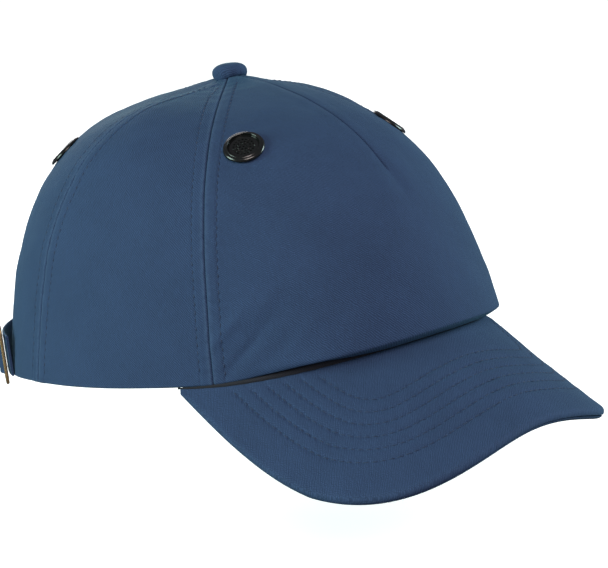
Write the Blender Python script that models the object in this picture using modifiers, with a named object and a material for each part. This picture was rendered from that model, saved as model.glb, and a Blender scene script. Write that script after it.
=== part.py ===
"""A bump cap: a five-panel fabric cap over a vented ABS shell with foam pads, a stitched peak, four
push-in vents, and a rear strap with a brass slide buckle.

The origin is the centre of the head opening, level with the side rim. -Y is the front of the cap, +X is
the wearer's left and +Z is up. Lengths are in metres. An angle round the crown is in degrees, 0 at the
front and 180 at the back, positive towards +X. A height v up the crown runs from 0 at the rim to 1 at
the top.
"""

import math
from functools import lru_cache

import bmesh
import bpy
from mathutils import Matrix, Vector

MM = 0.001

# The rim, seen from above: half its length and half its width, and how much wider it is behind.
HALF_LENGTH = 107 * MM
HALF_WIDTH = 91.8 * MM
EGG = 0.132
# How far the rim drops at the back, and the angles between which it drops.
REAR_DROP = 6 * MM
DROP_FROM, DROP_TO = 100, 160

# The top of the crown, and the shape of the rise to it at the front, the side and the back: how far it
# leans out, how high it stays upright, how broad the top is, and how steeply the top falls away. A larger
# spread keeps the side shape closer to the sides.
TOP_Y, TOP_Z = -7.4 * MM, 106.5 * MM
RISE_FRONT = (0.099, 0.501, 0.678, 0.087)
RISE_SIDE = (-0.149, 1.137, 0.331, 0.336)
RISE_BACK = (-0.137, 0.783, 0.696, 0.008)
SIDE_SPREAD = 3.2

# The peak: its junction's height at the front centre, the angle of its corners, how far it reaches
# forward, half its width, its forward slope, how square its outline is, and how much it flattens.
PEAK_RISE = 6.8 * MM
PEAK_ANGLE = 62.3
PEAK_LENGTH = 43.2 * MM
PEAK_HALF_WIDTH = 77.2 * MM
PEAK_SLOPE = 0.65
PEAK_SQUARE = 2.96
PEAK_FLATTEN = 0.13

# Each seam's angle at the rim, and how far it has moved round by the top.
FRONT_SEAM = (55.3, -3.6)
REAR_SEAM = (101.4, -15.6)

# The stiff front panel stands out over the peak: by how much, at what length up from the rim it does so
# fully, over what length it fades out above that, and the angles where it ends and blends in.
FLARE = 6.4 * MM
FLARE_FOOT, FLARE_FADE = 5 * MM, 36 * MM
FLARE_EDGE, FLARE_BLEND = 54.5, 27

# Layers, as depths below the fabric's outer surface.
FABRIC = 1.0 * MM
TAPE_DEPTH, TAPE = 1.8 * MM, 0.5 * MM
SHELL_DEPTH, SHELL = 3.0 * MM, 2.0 * MM
FOAM_DEPTH, FOAM = 5.6 * MM, 5.0 * MM
BAND = 1.4 * MM
COVER, BOARD, PEAK_GAP = 0.8 * MM, 2.2 * MM, 0.4 * MM
GAP = 0.3 * MM
CLOTH_TOP = 0.965
SHELL_FROM = 0.12
TAPE_WIDTH = 14 * MM

# The sweatband from its lower edge to its upper one: height above the rim, and depth.
BAND_STEPS = ((1.0, 1.6), (6.0, 3.2), (11.0, 4.8), (15.0, 5.6), (30.0, 5.6))
BAND_END = 2.62
# Each foam pad's first and last line, and the fractions of the rise that it covers.
LOW_PAD, HIGH_PAD, CROWN_PAD = (0.3, 0.4, 0.5, 0.6, 0.7), (0.4, 0.5, 0.6, 0.7), (0.78, 0.86, 0.92)
PADS = {
    "foam_pad_front": (-0.625, 0.625, LOW_PAD),
    "foam_pad_left": (1.125, 2.0, LOW_PAD),
    "foam_pad_right": (-2.0, -1.125, LOW_PAD),
    "foam_pad_rear_left": (2.625, 2.875, HIGH_PAD),
    "foam_pad_rear_right": (-2.875, -2.625, HIGH_PAD),
}
# The shell's air slots: the lines that they follow, how far up they sit, and their size.
SLOT_LINES, SLOT_FRACTION = (0.25, 1.3, 1.7, 2.75), 0.56
SLOT_LENGTH, SLOT_WIDTH = 30 * MM, 5 * MM

# Columns across one panel's width, and the fractions of the rise where the rows lie.
COLUMNS = 8
ROWS = (0, 0.06, 0.12, 0.2, 0.3, 0.4, 0.5, 0.6, 0.7, 0.78, 0.86, 0.92, CLOTH_TOP)
FOOT_ROWS = (0, 0.012, 0.024, 0.036)

# Vents: angle and height of the front and rear pairs, and the radius of the hole for the barrel.
VENTS = {"front": (42.2, 0.544), "rear": (130.7, 0.491)}
VENT_HOLE = 5.6 * MM
VENT_STEPS = 20

# Turned parts as (radius, height) in millimetres, the height above the crown's surface. A vent cap is a
# rim, a recessed disc and a barrel; its collar grips the barrel behind the shell.
VENT_RIM = ((0, 1.0), (5.2, 1.0), (5.8, 1.5), (6.4, 1.7), (7.2, 1.5), (7.8, 0.9), (7.6, 0.35), (5.2, 0.35))
VENT_BARREL = ((5.2, -7.6), (4.2, -7.6), (4.2, 0.2), (0, 0.2))
VENT_COLLAR = ((5.5, -6.4), (7.6, -6.4), (7.6, -7.8), (5.5, -7.8), (5.5, -6.4))
BUTTON_DOME = ((0, 6.2), (2.6, 6.0), (4.8, 5.4), (6.3, 4.3), (7.1, 2.9), (7.0, 1.6), (6.2, 0.6))
BUTTON_BORE = ((1.9, 0.6), (1.9, 4.2), (0, 4.2))
RIVET = ((0, 3.8), (1.5, 3.8), (1.5, -3.9), (4.0, -3.9), (4.0, -4.7), (0, -4.7))
WASHER = (0.95, 0.986)

# The rear opening is a half ellipse: half its width, its centre's height and its height above that.
ARCH_HALF_WIDTH, ARCH_CENTRE, ARCH_HEIGHT = 45 * MM, -8 * MM, 51 * MM
SHELL_ARCH_MARGIN = 7 * MM
BINDING, BINDING_WIDTH, BINDING_PROUD = 1.3 * MM, 2.4 * MM, 0.5 * MM
BINDING_GAP = 0.35 * MM

# The strap is an arc about a vertical line, with angles measured from the back towards the right.
STRAP_CENTRE_Y, STRAP_RADIUS, STRAP = 17 * MM, 92.3 * MM, 1.0 * MM
STRAP_FROM, STRAP_TO = -40, 70
STRAP_LOW, STRAP_HIGH = -0.5 * MM, 16.5 * MM
BUCKLE_ANGLE = 62
BUCKLE_WIDTH, BUCKLE_HEIGHT, BUCKLE, BUCKLE_BAR = 22 * MM, 24.5 * MM, 1.4 * MM, 2.2 * MM
BUCKLE_CORNER, WINDOW_CORNER = 2.5 * MM, 1.2 * MM
# The hump of strap over the buckle's middle bar: half its length and its rise.
HUMP_HALF, HUMP_RISE = 6.6 * MM, 2.0 * MM

TEXTILE_BLUE = (0.04, 0.075, 0.145)
MATERIALS = {
    "twill": (TEXTILE_BLUE, 0.85, 0),
    "band": ((0.02, 0.035, 0.07), 0.9, 0),
    "binding": ((0.03, 0.055, 0.11), 0.9, 0),
    "board": ((0.5, 0.5, 0.47), 0.6, 0),
    "abs": ((0.035, 0.037, 0.04), 0.45, 0),
    "foam": ((0.05, 0.05, 0.055), 0.95, 0),
    "vent": ((0.02, 0.022, 0.024), 0.3, 0),
    "brass": ((0.62, 0.42, 0.2), 0.3, 1),
    "steel": ((0.5, 0.5, 0.5), 0.35, 1),
}


# ---- the crown and the peak as surfaces


def smooth(x):
    """A smooth step from 0 to 1."""
    x = min(max(x, 0), 1)
    return x * x * (3 - 2 * x)


def rim_xy(angle):
    """The rim's x and y at an angle."""
    t = math.radians(angle)
    return HALF_WIDTH * math.sin(t) * (1 - EGG * math.cos(t)), -HALF_LENGTH * math.cos(t)


def peak_z(x, y):
    """The height of the peak's upper surface, which slopes forward and curves down to both sides."""
    corner_x, corner_y = rim_xy(PEAK_ANGLE)
    bend = (PEAK_RISE + PEAK_SLOPE * (corner_y + HALF_LENGTH)) / corner_x**2
    forward = min(max(-(y + HALF_LENGTH) / PEAK_LENGTH, 0), 1.5)
    return PEAK_RISE + PEAK_SLOPE * (y + HALF_LENGTH) - bend * (1 - PEAK_FLATTEN * forward) * x**2


def rim_z(angle):
    """The rim's height: on the peak in front, level at the sides, and lower at the back."""
    if abs(angle) < PEAK_ANGLE:
        return peak_z(*rim_xy(angle))
    return -REAR_DROP * smooth((abs(angle) - DROP_FROM) / (DROP_TO - DROP_FROM))


def crown_point(angle, v):
    """A point of the fabric's outer surface: each meridian is one cubic curve from the rim to the top."""
    x, y = rim_xy(angle)
    low = rim_z(angle)
    cosine = math.cos(math.radians(angle))
    side = abs(math.sin(math.radians(angle))) ** SIDE_SPREAD
    front, back = (1 - side, 0) if cosine > 0 else (0, 1 - side)
    rises = zip(RISE_FRONT, RISE_SIDE, RISE_BACK)
    lean, upright, broad, fall = (front * f + side * s + back * b for f, s, b in rises)
    radius = math.hypot(x, y - TOP_Y)
    reach = (radius, radius * (1 + lean), radius * broad, 0)
    height = (low, low + upright * (TOP_Z - low), TOP_Z - fall * radius * broad, TOP_Z)
    weight = ((1 - v) ** 3, 3 * v * (1 - v) ** 2, 3 * v * v * (1 - v), v**3)
    out = sum(w * r for w, r in zip(weight, reach)) / radius
    z = sum(w * h for w, h in zip(weight, height))
    return Vector((x * out, TOP_Y + (y - TOP_Y) * out, z))


def crown_normal(angle, v):
    """The outward direction of the crown there."""
    step_angle, step_v = 0.5, 0.004
    around = crown_point(angle + step_angle, v) - crown_point(angle - step_angle, v)
    low, high = max(v - step_v, 0), min(v + step_v, 1)
    return around.cross(crown_point(angle, high) - crown_point(angle, low)).normalized()


def crown_place(angle, v, depth=0.0):
    """A point of the crown, moved inwards by depth."""
    return crown_point(angle, v) - crown_normal(angle, v) * depth


def line_angle(line, v):
    """The angle of a line: 0 is the front centre, 1 a front seam, 2 a rear seam, 3 the back centre."""
    if abs(line) > 3:
        line -= math.copysign(6, line)
    stops = (0, FRONT_SEAM[0] + FRONT_SEAM[1] * v, REAR_SEAM[0] + REAR_SEAM[1] * v, 180)
    panel = min(int(abs(line)), 2)
    angle = stops[panel] + (stops[panel + 1] - stops[panel]) * (abs(line) - panel)
    return math.copysign(angle, line)


@lru_cache(maxsize=None)
def line_lengths(line):
    """The length of a line from the rim to each of a row of heights v."""
    steps = 80
    points = [crown_point(line_angle(line, i / steps), i / steps) for i in range(steps + 1)]
    lengths = [0.0]
    for a, b in zip(points, points[1:]):
        lengths.append(lengths[-1] + (b - a).length)
    return lengths


def v_at_length(line, length):
    """The height v at a length along a line."""
    lengths = line_lengths(line)
    i = 0
    while i < len(lengths) - 2 and lengths[i + 1] < length:
        i += 1
    return (i + (length - lengths[i]) / (lengths[i + 1] - lengths[i])) / (len(lengths) - 1)


def line_place(line, fraction, depth=0.0):
    """A point on a line, a fraction of its length up from the rim, and a depth below the surface."""
    v = v_at_length(line, fraction * line_lengths(line)[-1])
    return crown_place(line_angle(line, v), v, depth)


def peak_xy(along, out):
    """The peak from above: along runs from -90 to 90 degrees, out from 0 at the crown to 1 at the edge."""
    inner_x, inner_y = rim_xy(along / 90 * PEAK_ANGLE)
    corner_y = rim_xy(PEAK_ANGLE)[1]
    u, power = math.radians(along), 2 / PEAK_SQUARE
    outer_x = math.copysign(PEAK_HALF_WIDTH * abs(math.sin(u)) ** power, u)
    outer_y = corner_y - (HALF_LENGTH + PEAK_LENGTH + corner_y) * math.cos(u) ** power
    return inner_x + (outer_x - inner_x) * out, inner_y + (outer_y - inner_y) * out


def peak_place(along, out, depth):
    """A point of the peak, a depth below its upper surface."""
    x, y = peak_xy(along, out)
    step = 0.5 * MM
    slope_x = (peak_z(x + step, y) - peak_z(x - step, y)) / (2 * step)
    slope_y = (peak_z(x, y + step) - peak_z(x, y - step)) / (2 * step)
    normal = Vector((-slope_x, -slope_y, 1)).normalized()
    return Vector((x, y, peak_z(x, y))) - normal * depth


# ---- building


def clear_scene():
    for obj in list(bpy.data.objects):
        bpy.data.objects.remove(obj, do_unlink=True)


def new_collection(name):
    collection = bpy.data.collections.new(name)
    bpy.context.scene.collection.children.link(collection)
    return collection


@lru_cache(maxsize=None)
def material(name):
    colour, roughness, metallic = MATERIALS[name]
    made = bpy.data.materials.new(name)
    made.use_nodes = True
    shader = made.node_tree.nodes["Principled BSDF"]
    shader.inputs["Base Color"].default_value = (*colour, 1)
    shader.inputs["Roughness"].default_value = roughness
    shader.inputs["Metallic"].default_value = metallic
    return made


def add_part(name, data, slot, place=None):
    """Adds an object to the cap's collection, with its material."""
    obj = bpy.data.objects.new(name, data)
    data.materials.append(material(slot))
    CAP.objects.link(obj)
    if place:
        obj.matrix_world = place
    return obj


def surface(rows, closed=False):
    """An open mesh through rows of points, each row closed into a ring if asked."""
    bm = bmesh.new()
    grid = [[bm.verts.new(point) for point in row] for row in rows]
    for lower, upper in zip(grid, grid[1:]):
        pairs = list(zip(lower, upper))
        following = pairs[1:] + pairs[:1] if closed else pairs[1:]
        for (a, d), (b, c) in zip(pairs, following):
            bm.faces.new((a, b, c, d))
    mesh = bpy.data.meshes.new("surface")
    bm.to_mesh(mesh)
    bm.free()
    return mesh


def add_sheet(name, rows, thickness, slot, closed=False, place=None):
    """A part made of an open surface, thickened inwards."""
    obj = add_part(name, surface(rows, closed), slot, place)
    solid = obj.modifiers.new("thickness", "SOLIDIFY")
    solid.thickness = thickness
    solid.offset = -1
    solid.use_even_offset = True
    return obj


def add_turned(name, profile, steps, slot, place):
    """A part turned from a profile of (radius, height) in millimetres, from its top to its bottom."""
    mesh = bpy.data.meshes.new("profile")
    points = [(radius * MM, 0, height * MM) for radius, height in profile]
    mesh.from_pydata(points, [(i, i + 1) for i in range(len(points) - 1)], [])
    obj = add_part(name, mesh, slot, place)
    turn = obj.modifiers.new("turn", "SCREW")
    turn.steps = steps
    turn.render_steps = steps
    turn.use_merge_vertices = True
    turn.merge_threshold = 0.01 * MM
    turn.use_smooth_shade = True
    return obj


def hide_cutter(obj, name):
    obj.name = name
    obj.hide_render = True
    obj.display_type = "WIRE"
    for collection in list(obj.users_collection):
        collection.objects.unlink(obj)
    CUTTERS.objects.link(obj)
    return obj


def cut(obj, cutter):
    """Takes a cutter's volume out of an object."""
    boolean = obj.modifiers.new(cutter.name, "BOOLEAN")
    boolean.operation = "DIFFERENCE"
    boolean.solver = "EXACT"
    boolean.object = cutter


def lines_between(first, last, edge_gap=0.0):
    """Evenly spaced lines, each with the distance that it moves sideways to leave half a seam's gap."""
    count = max(round((last - first) * COLUMNS), 1)
    lines = [first + (last - first) * i / count for i in range(count + 1)]
    shifts = [0.0] * len(lines)
    shifts[0], shifts[-1] = edge_gap / 2, -edge_gap / 2
    return list(zip(lines, shifts))


def crown_rows(lines, fractions, depth):
    """Rows of points across lines of the crown, at fractions of the way up."""
    rows = []
    for fraction in fractions:
        row = []
        for line, shift in lines:
            point = line_place(line, fraction, depth)
            ahead = line_place(line + 0.01, fraction, depth) if shift else point
            row.append(point + (ahead - point).normalized() * shift)
        rows.append(row)
    return rows


def full_turn():
    """Lines all the way round, from the back over the front, without the last, which is the first."""
    return [pair for pair in lines_between(-3, 3)][:-1]


# ---- cutters


def crown_frame(angle, v):
    """A placing whose origin is on the crown, with z outwards and y up the crown."""
    normal = crown_normal(angle, v)
    up = crown_point(angle, v + 0.01) - crown_point(angle, v - 0.01)
    across = up.cross(normal).normalized()
    up = normal.cross(across)
    turn = Matrix((across, up, normal)).transposed().to_4x4()
    return Matrix.Translation(crown_point(angle, v)) @ turn


def vent_places():
    """The name and placing of each vent."""
    for end, (angle, v) in VENTS.items():
        for side, sign in (("left", 1), ("right", -1)):
            yield f"{end}_{side}", crown_frame(sign * angle, v)


def vent_cutter(name, place):
    bpy.ops.mesh.primitive_cylinder_add(vertices=VENT_STEPS, radius=VENT_HOLE, depth=30 * MM)
    cutter = hide_cutter(bpy.context.object, f"cut_{name}")
    cutter.matrix_world = place
    return cutter


def arch_cutter(name, margin):
    """A prism through the back, with the rear opening's outline grown by a margin."""
    steps = 32
    bm = bmesh.new()
    low = ARCH_CENTRE - 12 * MM
    outline = [(ARCH_HALF_WIDTH + margin, low)]
    for i in range(steps + 1):
        u = math.pi * i / steps
        x = (ARCH_HALF_WIDTH + margin) * math.cos(u)
        outline.append((x, ARCH_CENTRE + (ARCH_HEIGHT + margin) * math.sin(u)))
    outline.append((-ARCH_HALF_WIDTH - margin, low))
    face = bm.faces.new([bm.verts.new((x, 30 * MM, z)) for x, z in outline])
    pushed = bmesh.ops.extrude_face_region(bm, geom=[face])["geom"]
    verts = [item for item in pushed if isinstance(item, bmesh.types.BMVert)]
    bmesh.ops.translate(bm, verts=verts, vec=(0, 110 * MM, 0))
    bmesh.ops.recalc_face_normals(bm, faces=bm.faces)
    mesh = bpy.data.meshes.new(name)
    bm.to_mesh(mesh)
    bm.free()
    obj = bpy.data.objects.new(name, mesh)
    CAP.objects.link(obj)
    return hide_cutter(obj, name)


def slot_cutter(name, line):
    """A round-ended slot along a line, for the shell."""
    v = v_at_length(line, SLOT_FRACTION * line_lengths(line)[-1])
    bpy.ops.mesh.primitive_cube_add(size=1)
    cutter = hide_cutter(bpy.context.object, name)
    cutter.data.transform(Matrix.Diagonal((SLOT_WIDTH, SLOT_LENGTH, 24 * MM, 1)))
    bm = bmesh.new()
    bm.from_mesh(cutter.data)
    upright = [e for e in bm.edges if abs(e.verts[0].co.z - e.verts[1].co.z) > MM]
    bmesh.ops.bevel(bm, geom=upright, offset=SLOT_WIDTH * 0.48, segments=3, affect="EDGES", profile=0.5)
    bm.to_mesh(cutter.data)
    bm.free()
    cutter.matrix_world = crown_frame(line_angle(line, v), v)
    return cutter


# ---- the fabric crown


def flare(angle, length):
    """How far the front panel stands out there, at a length up from the rim."""
    window = smooth((FLARE_EDGE - abs(angle)) / FLARE_BLEND)
    foot = math.sin(math.pi / 2 * min(length / FLARE_FOOT, 1))
    fade = 1 - min(max((length - FLARE_FOOT) / FLARE_FADE, 0), 1)
    return FLARE * window * foot * fade**1.5


def front_rows(lines):
    """The front panel's rows, which stand out over the peak near the rim."""
    fractions = FOOT_ROWS + ROWS[1:]
    rows = crown_rows(lines, fractions, 0)
    for fraction, row in zip(fractions, rows):
        for i, (line, _) in enumerate(lines):
            length = fraction * line_lengths(line)[-1]
            v = v_at_length(line, length)
            angle = line_angle(line, v)
            row[i] = row[i] + crown_normal(angle, v) * flare(angle, length)
    return rows


def make_panels(vents, arch):
    spans = {
        "front_panel": (-1, 1),
        "side_panel_left": (1, 2),
        "side_panel_right": (-2, -1),
        "back_panel_left": (2, 3),
        "back_panel_right": (-3, -2),
    }
    for name, (first, last) in spans.items():
        lines = lines_between(first, last, GAP)
        rows = front_rows(lines) if name == "front_panel" else crown_rows(lines, ROWS, 0)
        panel = add_sheet(name, rows, FABRIC, "twill")
        for vent, cutter in vents.items():
            inside = "front" in vent and name == "front_panel"
            if inside or vent.replace("rear", "back_panel") == name:
                cut(panel, cutter)
        if name.startswith("back"):
            cut(panel, arch)


def make_tapes():
    """Tapes over the seams, inside; the one at the back centre starts above the rear opening."""
    seams = {
        "seam_tape_front_left": (1, 0.08),
        "seam_tape_front_right": (-1, 0.08),
        "seam_tape_rear_left": (2, 0.08),
        "seam_tape_rear_right": (-2, 0.08),
        "seam_tape_back": (3, 0.34),
    }
    fractions = [f for f in ROWS if f < 0.93]
    for name, (line, start) in seams.items():
        rows = []
        for fraction in [start] + [f for f in fractions if f > start + 0.02]:
            one_side = line_place(line - 0.05, fraction, TAPE_DEPTH)
            spread = 0.1 / (line_place(line + 0.05, fraction, TAPE_DEPTH) - one_side).length
            half = TAPE_WIDTH / 2 * min(1, (1.02 - fraction) * 3) * spread
            rows.append([line_place(line + half * side, fraction, TAPE_DEPTH) for side in (-1, 0, 1)])
        add_sheet(name, rows, TAPE, "binding")


def make_button():
    top = Matrix.Translation((0, TOP_Y, TOP_Z))
    add_turned("top_button", BUTTON_DOME + BUTTON_BORE, 24, "twill", top)
    add_turned("button_rivet", RIVET, 16, "steel", top)
    rows = crown_rows(full_turn()[::2], WASHER, TAPE_DEPTH)
    add_sheet("button_washer", rows, TAPE, "binding", closed=True)


# ---- the peak


def make_peak():
    layers = {
        "peak_top_cover": (0, COVER, 1.0, 86, "twill"),
        "peak_board": (COVER + PEAK_GAP, BOARD, 0.955, 82, "board"),
        "peak_under_cover": (COVER + BOARD + 2 * PEAK_GAP, COVER, 1.0, 86, "twill"),
    }
    columns, outs = 26, (0.012, 0.2, 0.4, 0.6, 0.8, 1.0)
    for name, (depth, thickness, reach, corner, slot) in layers.items():
        turns = [corner * math.sin(math.pi / 2 * (2 * i / columns - 1)) for i in range(columns + 1)]
        rows = [[peak_place(u, out * reach, depth) for u in turns] for out in reversed(outs)]
        add_sheet(name, rows, thickness, slot)


# ---- the shell, its pads and the sweatband


def make_shell(vents, arch):
    fractions = [f for f in ROWS if f >= SHELL_FROM]
    rows = crown_rows(full_turn(), fractions, SHELL_DEPTH)
    shell = add_sheet("bump_shell", rows, SHELL, "abs", closed=True)
    for cutter in vents.values():
        cut(shell, cutter)
    cut(shell, arch)
    for line in SLOT_LINES:
        for side, sign in (("left", 1), ("right", -1)):
            cut(shell, slot_cutter(f"cut_slot_{line}_{side}", sign * line))


def make_pads():
    for name, (first, last, fractions) in PADS.items():
        lines = lines_between(first, last)
        add_sheet(name, crown_rows(lines, fractions, FOAM_DEPTH), FOAM, "foam")
    crown = crown_rows(full_turn(), CROWN_PAD, FOAM_DEPTH)
    add_sheet("foam_pad_crown", crown, FOAM, "foam", closed=True)


def make_sweatband():
    """A band round the rim from one side of the rear opening to the other."""
    rows = []
    for height, depth in BAND_STEPS:
        row = []
        for line, _ in lines_between(-BAND_END, BAND_END):
            v = v_at_length(line, height * MM)
            row.append(crown_place(line_angle(line, v), v, depth * MM))
        rows.append(row)
    add_sheet("sweatband", rows, BAND, "band")


# ---- the vents


def make_vents():
    for name, place in vent_places():
        add_turned(f"vent_cap_{name}", VENT_RIM + VENT_BARREL, VENT_STEPS, "vent", place)
        add_turned(f"vent_collar_{name}", VENT_COLLAR, VENT_STEPS, "vent", place)


# ---- the rear opening, strap and buckle


def arch_v(angle):
    """The height v at which the meridian of an angle leaves the rear opening."""
    low, high = 0.0, 0.6
    for _ in range(40):
        v = (low + high) / 2
        point = crown_point(angle, v)
        beyond = (point.x / ARCH_HALF_WIDTH) ** 2 + ((point.z - ARCH_CENTRE) / ARCH_HEIGHT) ** 2 > 1
        low, high = (low, v) if beyond else (v, high)
    return high


def make_binding():
    """The binding strip just inside the rear opening's edge."""
    columns, corner = 32, 25.5
    path = []
    for i in range(columns + 1):
        angle = 180 - corner * math.sin(math.pi * (i / columns - 0.5))
        path.append((angle, arch_v(angle)))
    inner, outer = [], []
    middle = Vector((0, HALF_LENGTH, 0))
    for i, (angle, v) in enumerate(path):
        before, after = path[max(i - 1, 0)], path[min(i + 1, columns)]
        tangent = (crown_point(*after) - crown_point(*before)).normalized()
        inwards = crown_normal(angle, v).cross(tangent)
        point = crown_place(angle, v, -BINDING_PROUD)
        inwards = inwards if inwards.dot(middle - point) > 0 else -inwards
        outer.append(point + inwards * BINDING_GAP)
        inner.append(point + inwards * (BINDING_GAP + BINDING))
    add_sheet("arch_binding", [outer, inner], BINDING_WIDTH, "binding")


def strap_frame(angle):
    """A placing on the strap's outer face: z outwards, x along the strap to the right, y up."""
    u = math.radians(angle)
    outwards = Vector((-math.sin(u), math.cos(u), 0))
    along = Vector((-math.cos(u), -math.sin(u), 0))
    turn = Matrix((along, Vector((0, 0, 1)), outwards)).transposed().to_4x4()
    reach = STRAP_RADIUS + STRAP
    height = (STRAP_LOW + STRAP_HIGH) / 2
    origin = Vector((0, STRAP_CENTRE_Y, height)) + outwards * reach
    return Matrix.Translation(origin) @ turn


def make_strap():
    columns = 30
    rows = []
    for z in (STRAP_LOW, STRAP_HIGH):
        row = []
        for i in range(columns + 1):
            u = math.radians(STRAP_TO + (STRAP_FROM - STRAP_TO) * i / columns)
            reach = STRAP_RADIUS + STRAP
            row.append((-reach * math.sin(u), STRAP_CENTRE_Y + reach * math.cos(u), z))
        rows.append(row[::-1])
    add_sheet("back_strap", rows, STRAP, "twill")


def rounded_rectangle(curve, x, width, height, radius):
    """Adds a rounded rectangle to a flat curve, as one spline of short segments."""
    spline = curve.splines.new("POLY")
    points = []
    for corner in range(4):
        sign_x = (1, -1, -1, 1)[corner]
        sign_y = (1, 1, -1, -1)[corner]
        for step in range(4):
            u = math.radians(90 * corner + 30 * step)
            px = x + sign_x * (width / 2 - radius) + radius * math.cos(u)
            points.append((px, sign_y * (height / 2 - radius) + radius * math.sin(u)))
    spline.points.add(len(points) - 1)
    for point, (px, py) in zip(spline.points, points):
        point.co = (px, py, 0, 1)
    spline.use_cyclic_u = True


def make_buckle():
    curve = bpy.data.curves.new("buckle", "CURVE")
    curve.dimensions = "2D"
    curve.fill_mode = "BOTH"
    curve.extrude = BUCKLE / 2
    rounded_rectangle(curve, 0, BUCKLE_WIDTH, BUCKLE_HEIGHT, BUCKLE_CORNER)
    window = (BUCKLE_WIDTH - 3 * BUCKLE_BAR) / 2
    for sign in (1, -1):
        middle = sign * (BUCKLE_BAR + window) / 2
        rounded_rectangle(curve, middle, window, BUCKLE_HEIGHT - 2 * BUCKLE_BAR, WINDOW_CORNER)
    place = strap_frame(BUCKLE_ANGLE) @ Matrix.Translation((0, 0, GAP + BUCKLE / 2))
    add_part("buckle_frame", curve, "brass", place)


def make_fold():
    """The hump of strap over the buckle's middle bar."""
    columns = 14
    height = STRAP_HIGH - STRAP_LOW
    rows = []
    for y in (-height / 2, height / 2):
        row = []
        for i in range(columns + 1):
            x = HUMP_HALF * (2 * i / columns - 1)
            lift = HUMP_RISE * math.cos(math.pi / 2 * x / HUMP_HALF) ** 2
            row.append((x, y, GAP + lift + STRAP))
        rows.append(row)
    add_sheet("strap_fold", rows, STRAP, "twill", place=strap_frame(BUCKLE_ANGLE))


clear_scene()
CAP = new_collection("bump_cap")
CUTTERS = new_collection("cutters")
vent_cutters = {name: vent_cutter(name, place) for name, place in vent_places()}
make_panels(vent_cutters, arch_cutter("cut_arch", 0))
make_tapes()
make_button()
make_peak()
make_shell(vent_cutters, arch_cutter("cut_shell_arch", SHELL_ARCH_MARGIN))
make_pads()
make_sweatband()
make_vents()
make_binding()
make_strap()
make_buckle()
make_fold()
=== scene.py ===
"""The looks of the bump cap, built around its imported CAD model.

Every fabric piece is a fine closed mesh on the same surface as its CAD solid, with rolled edges, sewn
channels and single stitches in the mesh itself. The front of the cap is -Y and +X is the wearer's left.
Lengths are in metres.
"""

import math

import bmesh
import bpy
import numpy as np
from mathutils import Matrix, Vector


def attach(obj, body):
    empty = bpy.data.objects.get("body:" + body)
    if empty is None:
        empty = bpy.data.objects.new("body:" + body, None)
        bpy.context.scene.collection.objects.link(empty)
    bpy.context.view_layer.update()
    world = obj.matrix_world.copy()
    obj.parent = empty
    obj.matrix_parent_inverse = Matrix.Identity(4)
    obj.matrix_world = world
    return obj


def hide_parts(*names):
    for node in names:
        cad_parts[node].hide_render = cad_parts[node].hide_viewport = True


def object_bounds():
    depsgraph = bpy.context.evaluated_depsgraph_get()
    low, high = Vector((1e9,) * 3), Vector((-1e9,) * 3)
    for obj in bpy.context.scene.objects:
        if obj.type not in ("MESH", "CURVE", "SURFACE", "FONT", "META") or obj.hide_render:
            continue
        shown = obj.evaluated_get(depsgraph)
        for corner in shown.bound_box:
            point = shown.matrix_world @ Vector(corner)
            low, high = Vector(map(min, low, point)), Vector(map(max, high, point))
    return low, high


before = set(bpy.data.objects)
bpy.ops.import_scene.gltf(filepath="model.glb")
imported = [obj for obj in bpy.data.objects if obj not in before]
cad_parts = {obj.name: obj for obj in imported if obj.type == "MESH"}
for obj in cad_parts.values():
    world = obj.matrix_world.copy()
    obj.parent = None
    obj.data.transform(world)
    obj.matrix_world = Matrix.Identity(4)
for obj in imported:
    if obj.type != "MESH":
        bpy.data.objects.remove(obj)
CAD_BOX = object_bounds()

MM = 0.001

# ---- the shape, as in the CAD source

HALF_LENGTH, HALF_WIDTH, EGG = 107 * MM, 91.8 * MM, 0.132
REAR_DROP, DROP_FROM, DROP_TO = 6 * MM, 100, 160
TOP_Y, TOP_Z = -7.4 * MM, 106.5 * MM
TOP_LIFT, LIFT_REACH = 1.75 * MM, 17 * MM
RISE_FRONT = (0.099, 0.501, 0.678, 0.087)
RISE_SIDE = (-0.149, 1.137, 0.331, 0.336)
RISE_BACK = (-0.137, 0.783, 0.696, 0.008)
SIDE_SPREAD = 3.2
PEAK_RISE, PEAK_ANGLE = 6.8 * MM, 62.3
PEAK_LENGTH, PEAK_HALF_WIDTH = 43.2 * MM, 77.2 * MM
PEAK_SLOPE, PEAK_SQUARE, PEAK_FLATTEN = 0.65, 2.96, 0.13
FRONT_SEAM, REAR_SEAM = (55.3, -3.6), (101.4, -15.6)
FLARE, FLARE_FOOT, FLARE_FADE, FLARE_EDGE, FLARE_BLEND = 6.4 * MM, 5 * MM, 36 * MM, 54.5, 27
TAPE_DEPTH, TAPE = 1.8 * MM, 0.5 * MM
COVER, BOARD, PEAK_GAP = 0.8 * MM, 2.2 * MM, 0.4 * MM
FOAM_DEPTH, FOAM = 5.6 * MM, 5.0 * MM
VENTS = {"front": (42.2, 0.544), "rear": (130.7, 0.491)}
ARCH_HALF_WIDTH, ARCH_CENTRE, ARCH_HEIGHT = 45 * MM, -8 * MM, 51 * MM
STRAP_CENTRE_Y, STRAP_RADIUS, STRAP = 17 * MM, 92.3 * MM, 1.0 * MM
STRAP_FROM, STRAP_TO = -40, 70
STRAP_LOW, STRAP_HIGH = -0.5 * MM, 16.5 * MM
BUCKLE_ANGLE = 62
BUCKLE_WIDTH, BUCKLE_HEIGHT, BUCKLE, BUCKLE_BAR = 22 * MM, 24.5 * MM, 1.4 * MM, 2.2 * MM
GAP = 0.3 * MM

# ---- how the cloth is sewn

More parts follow.
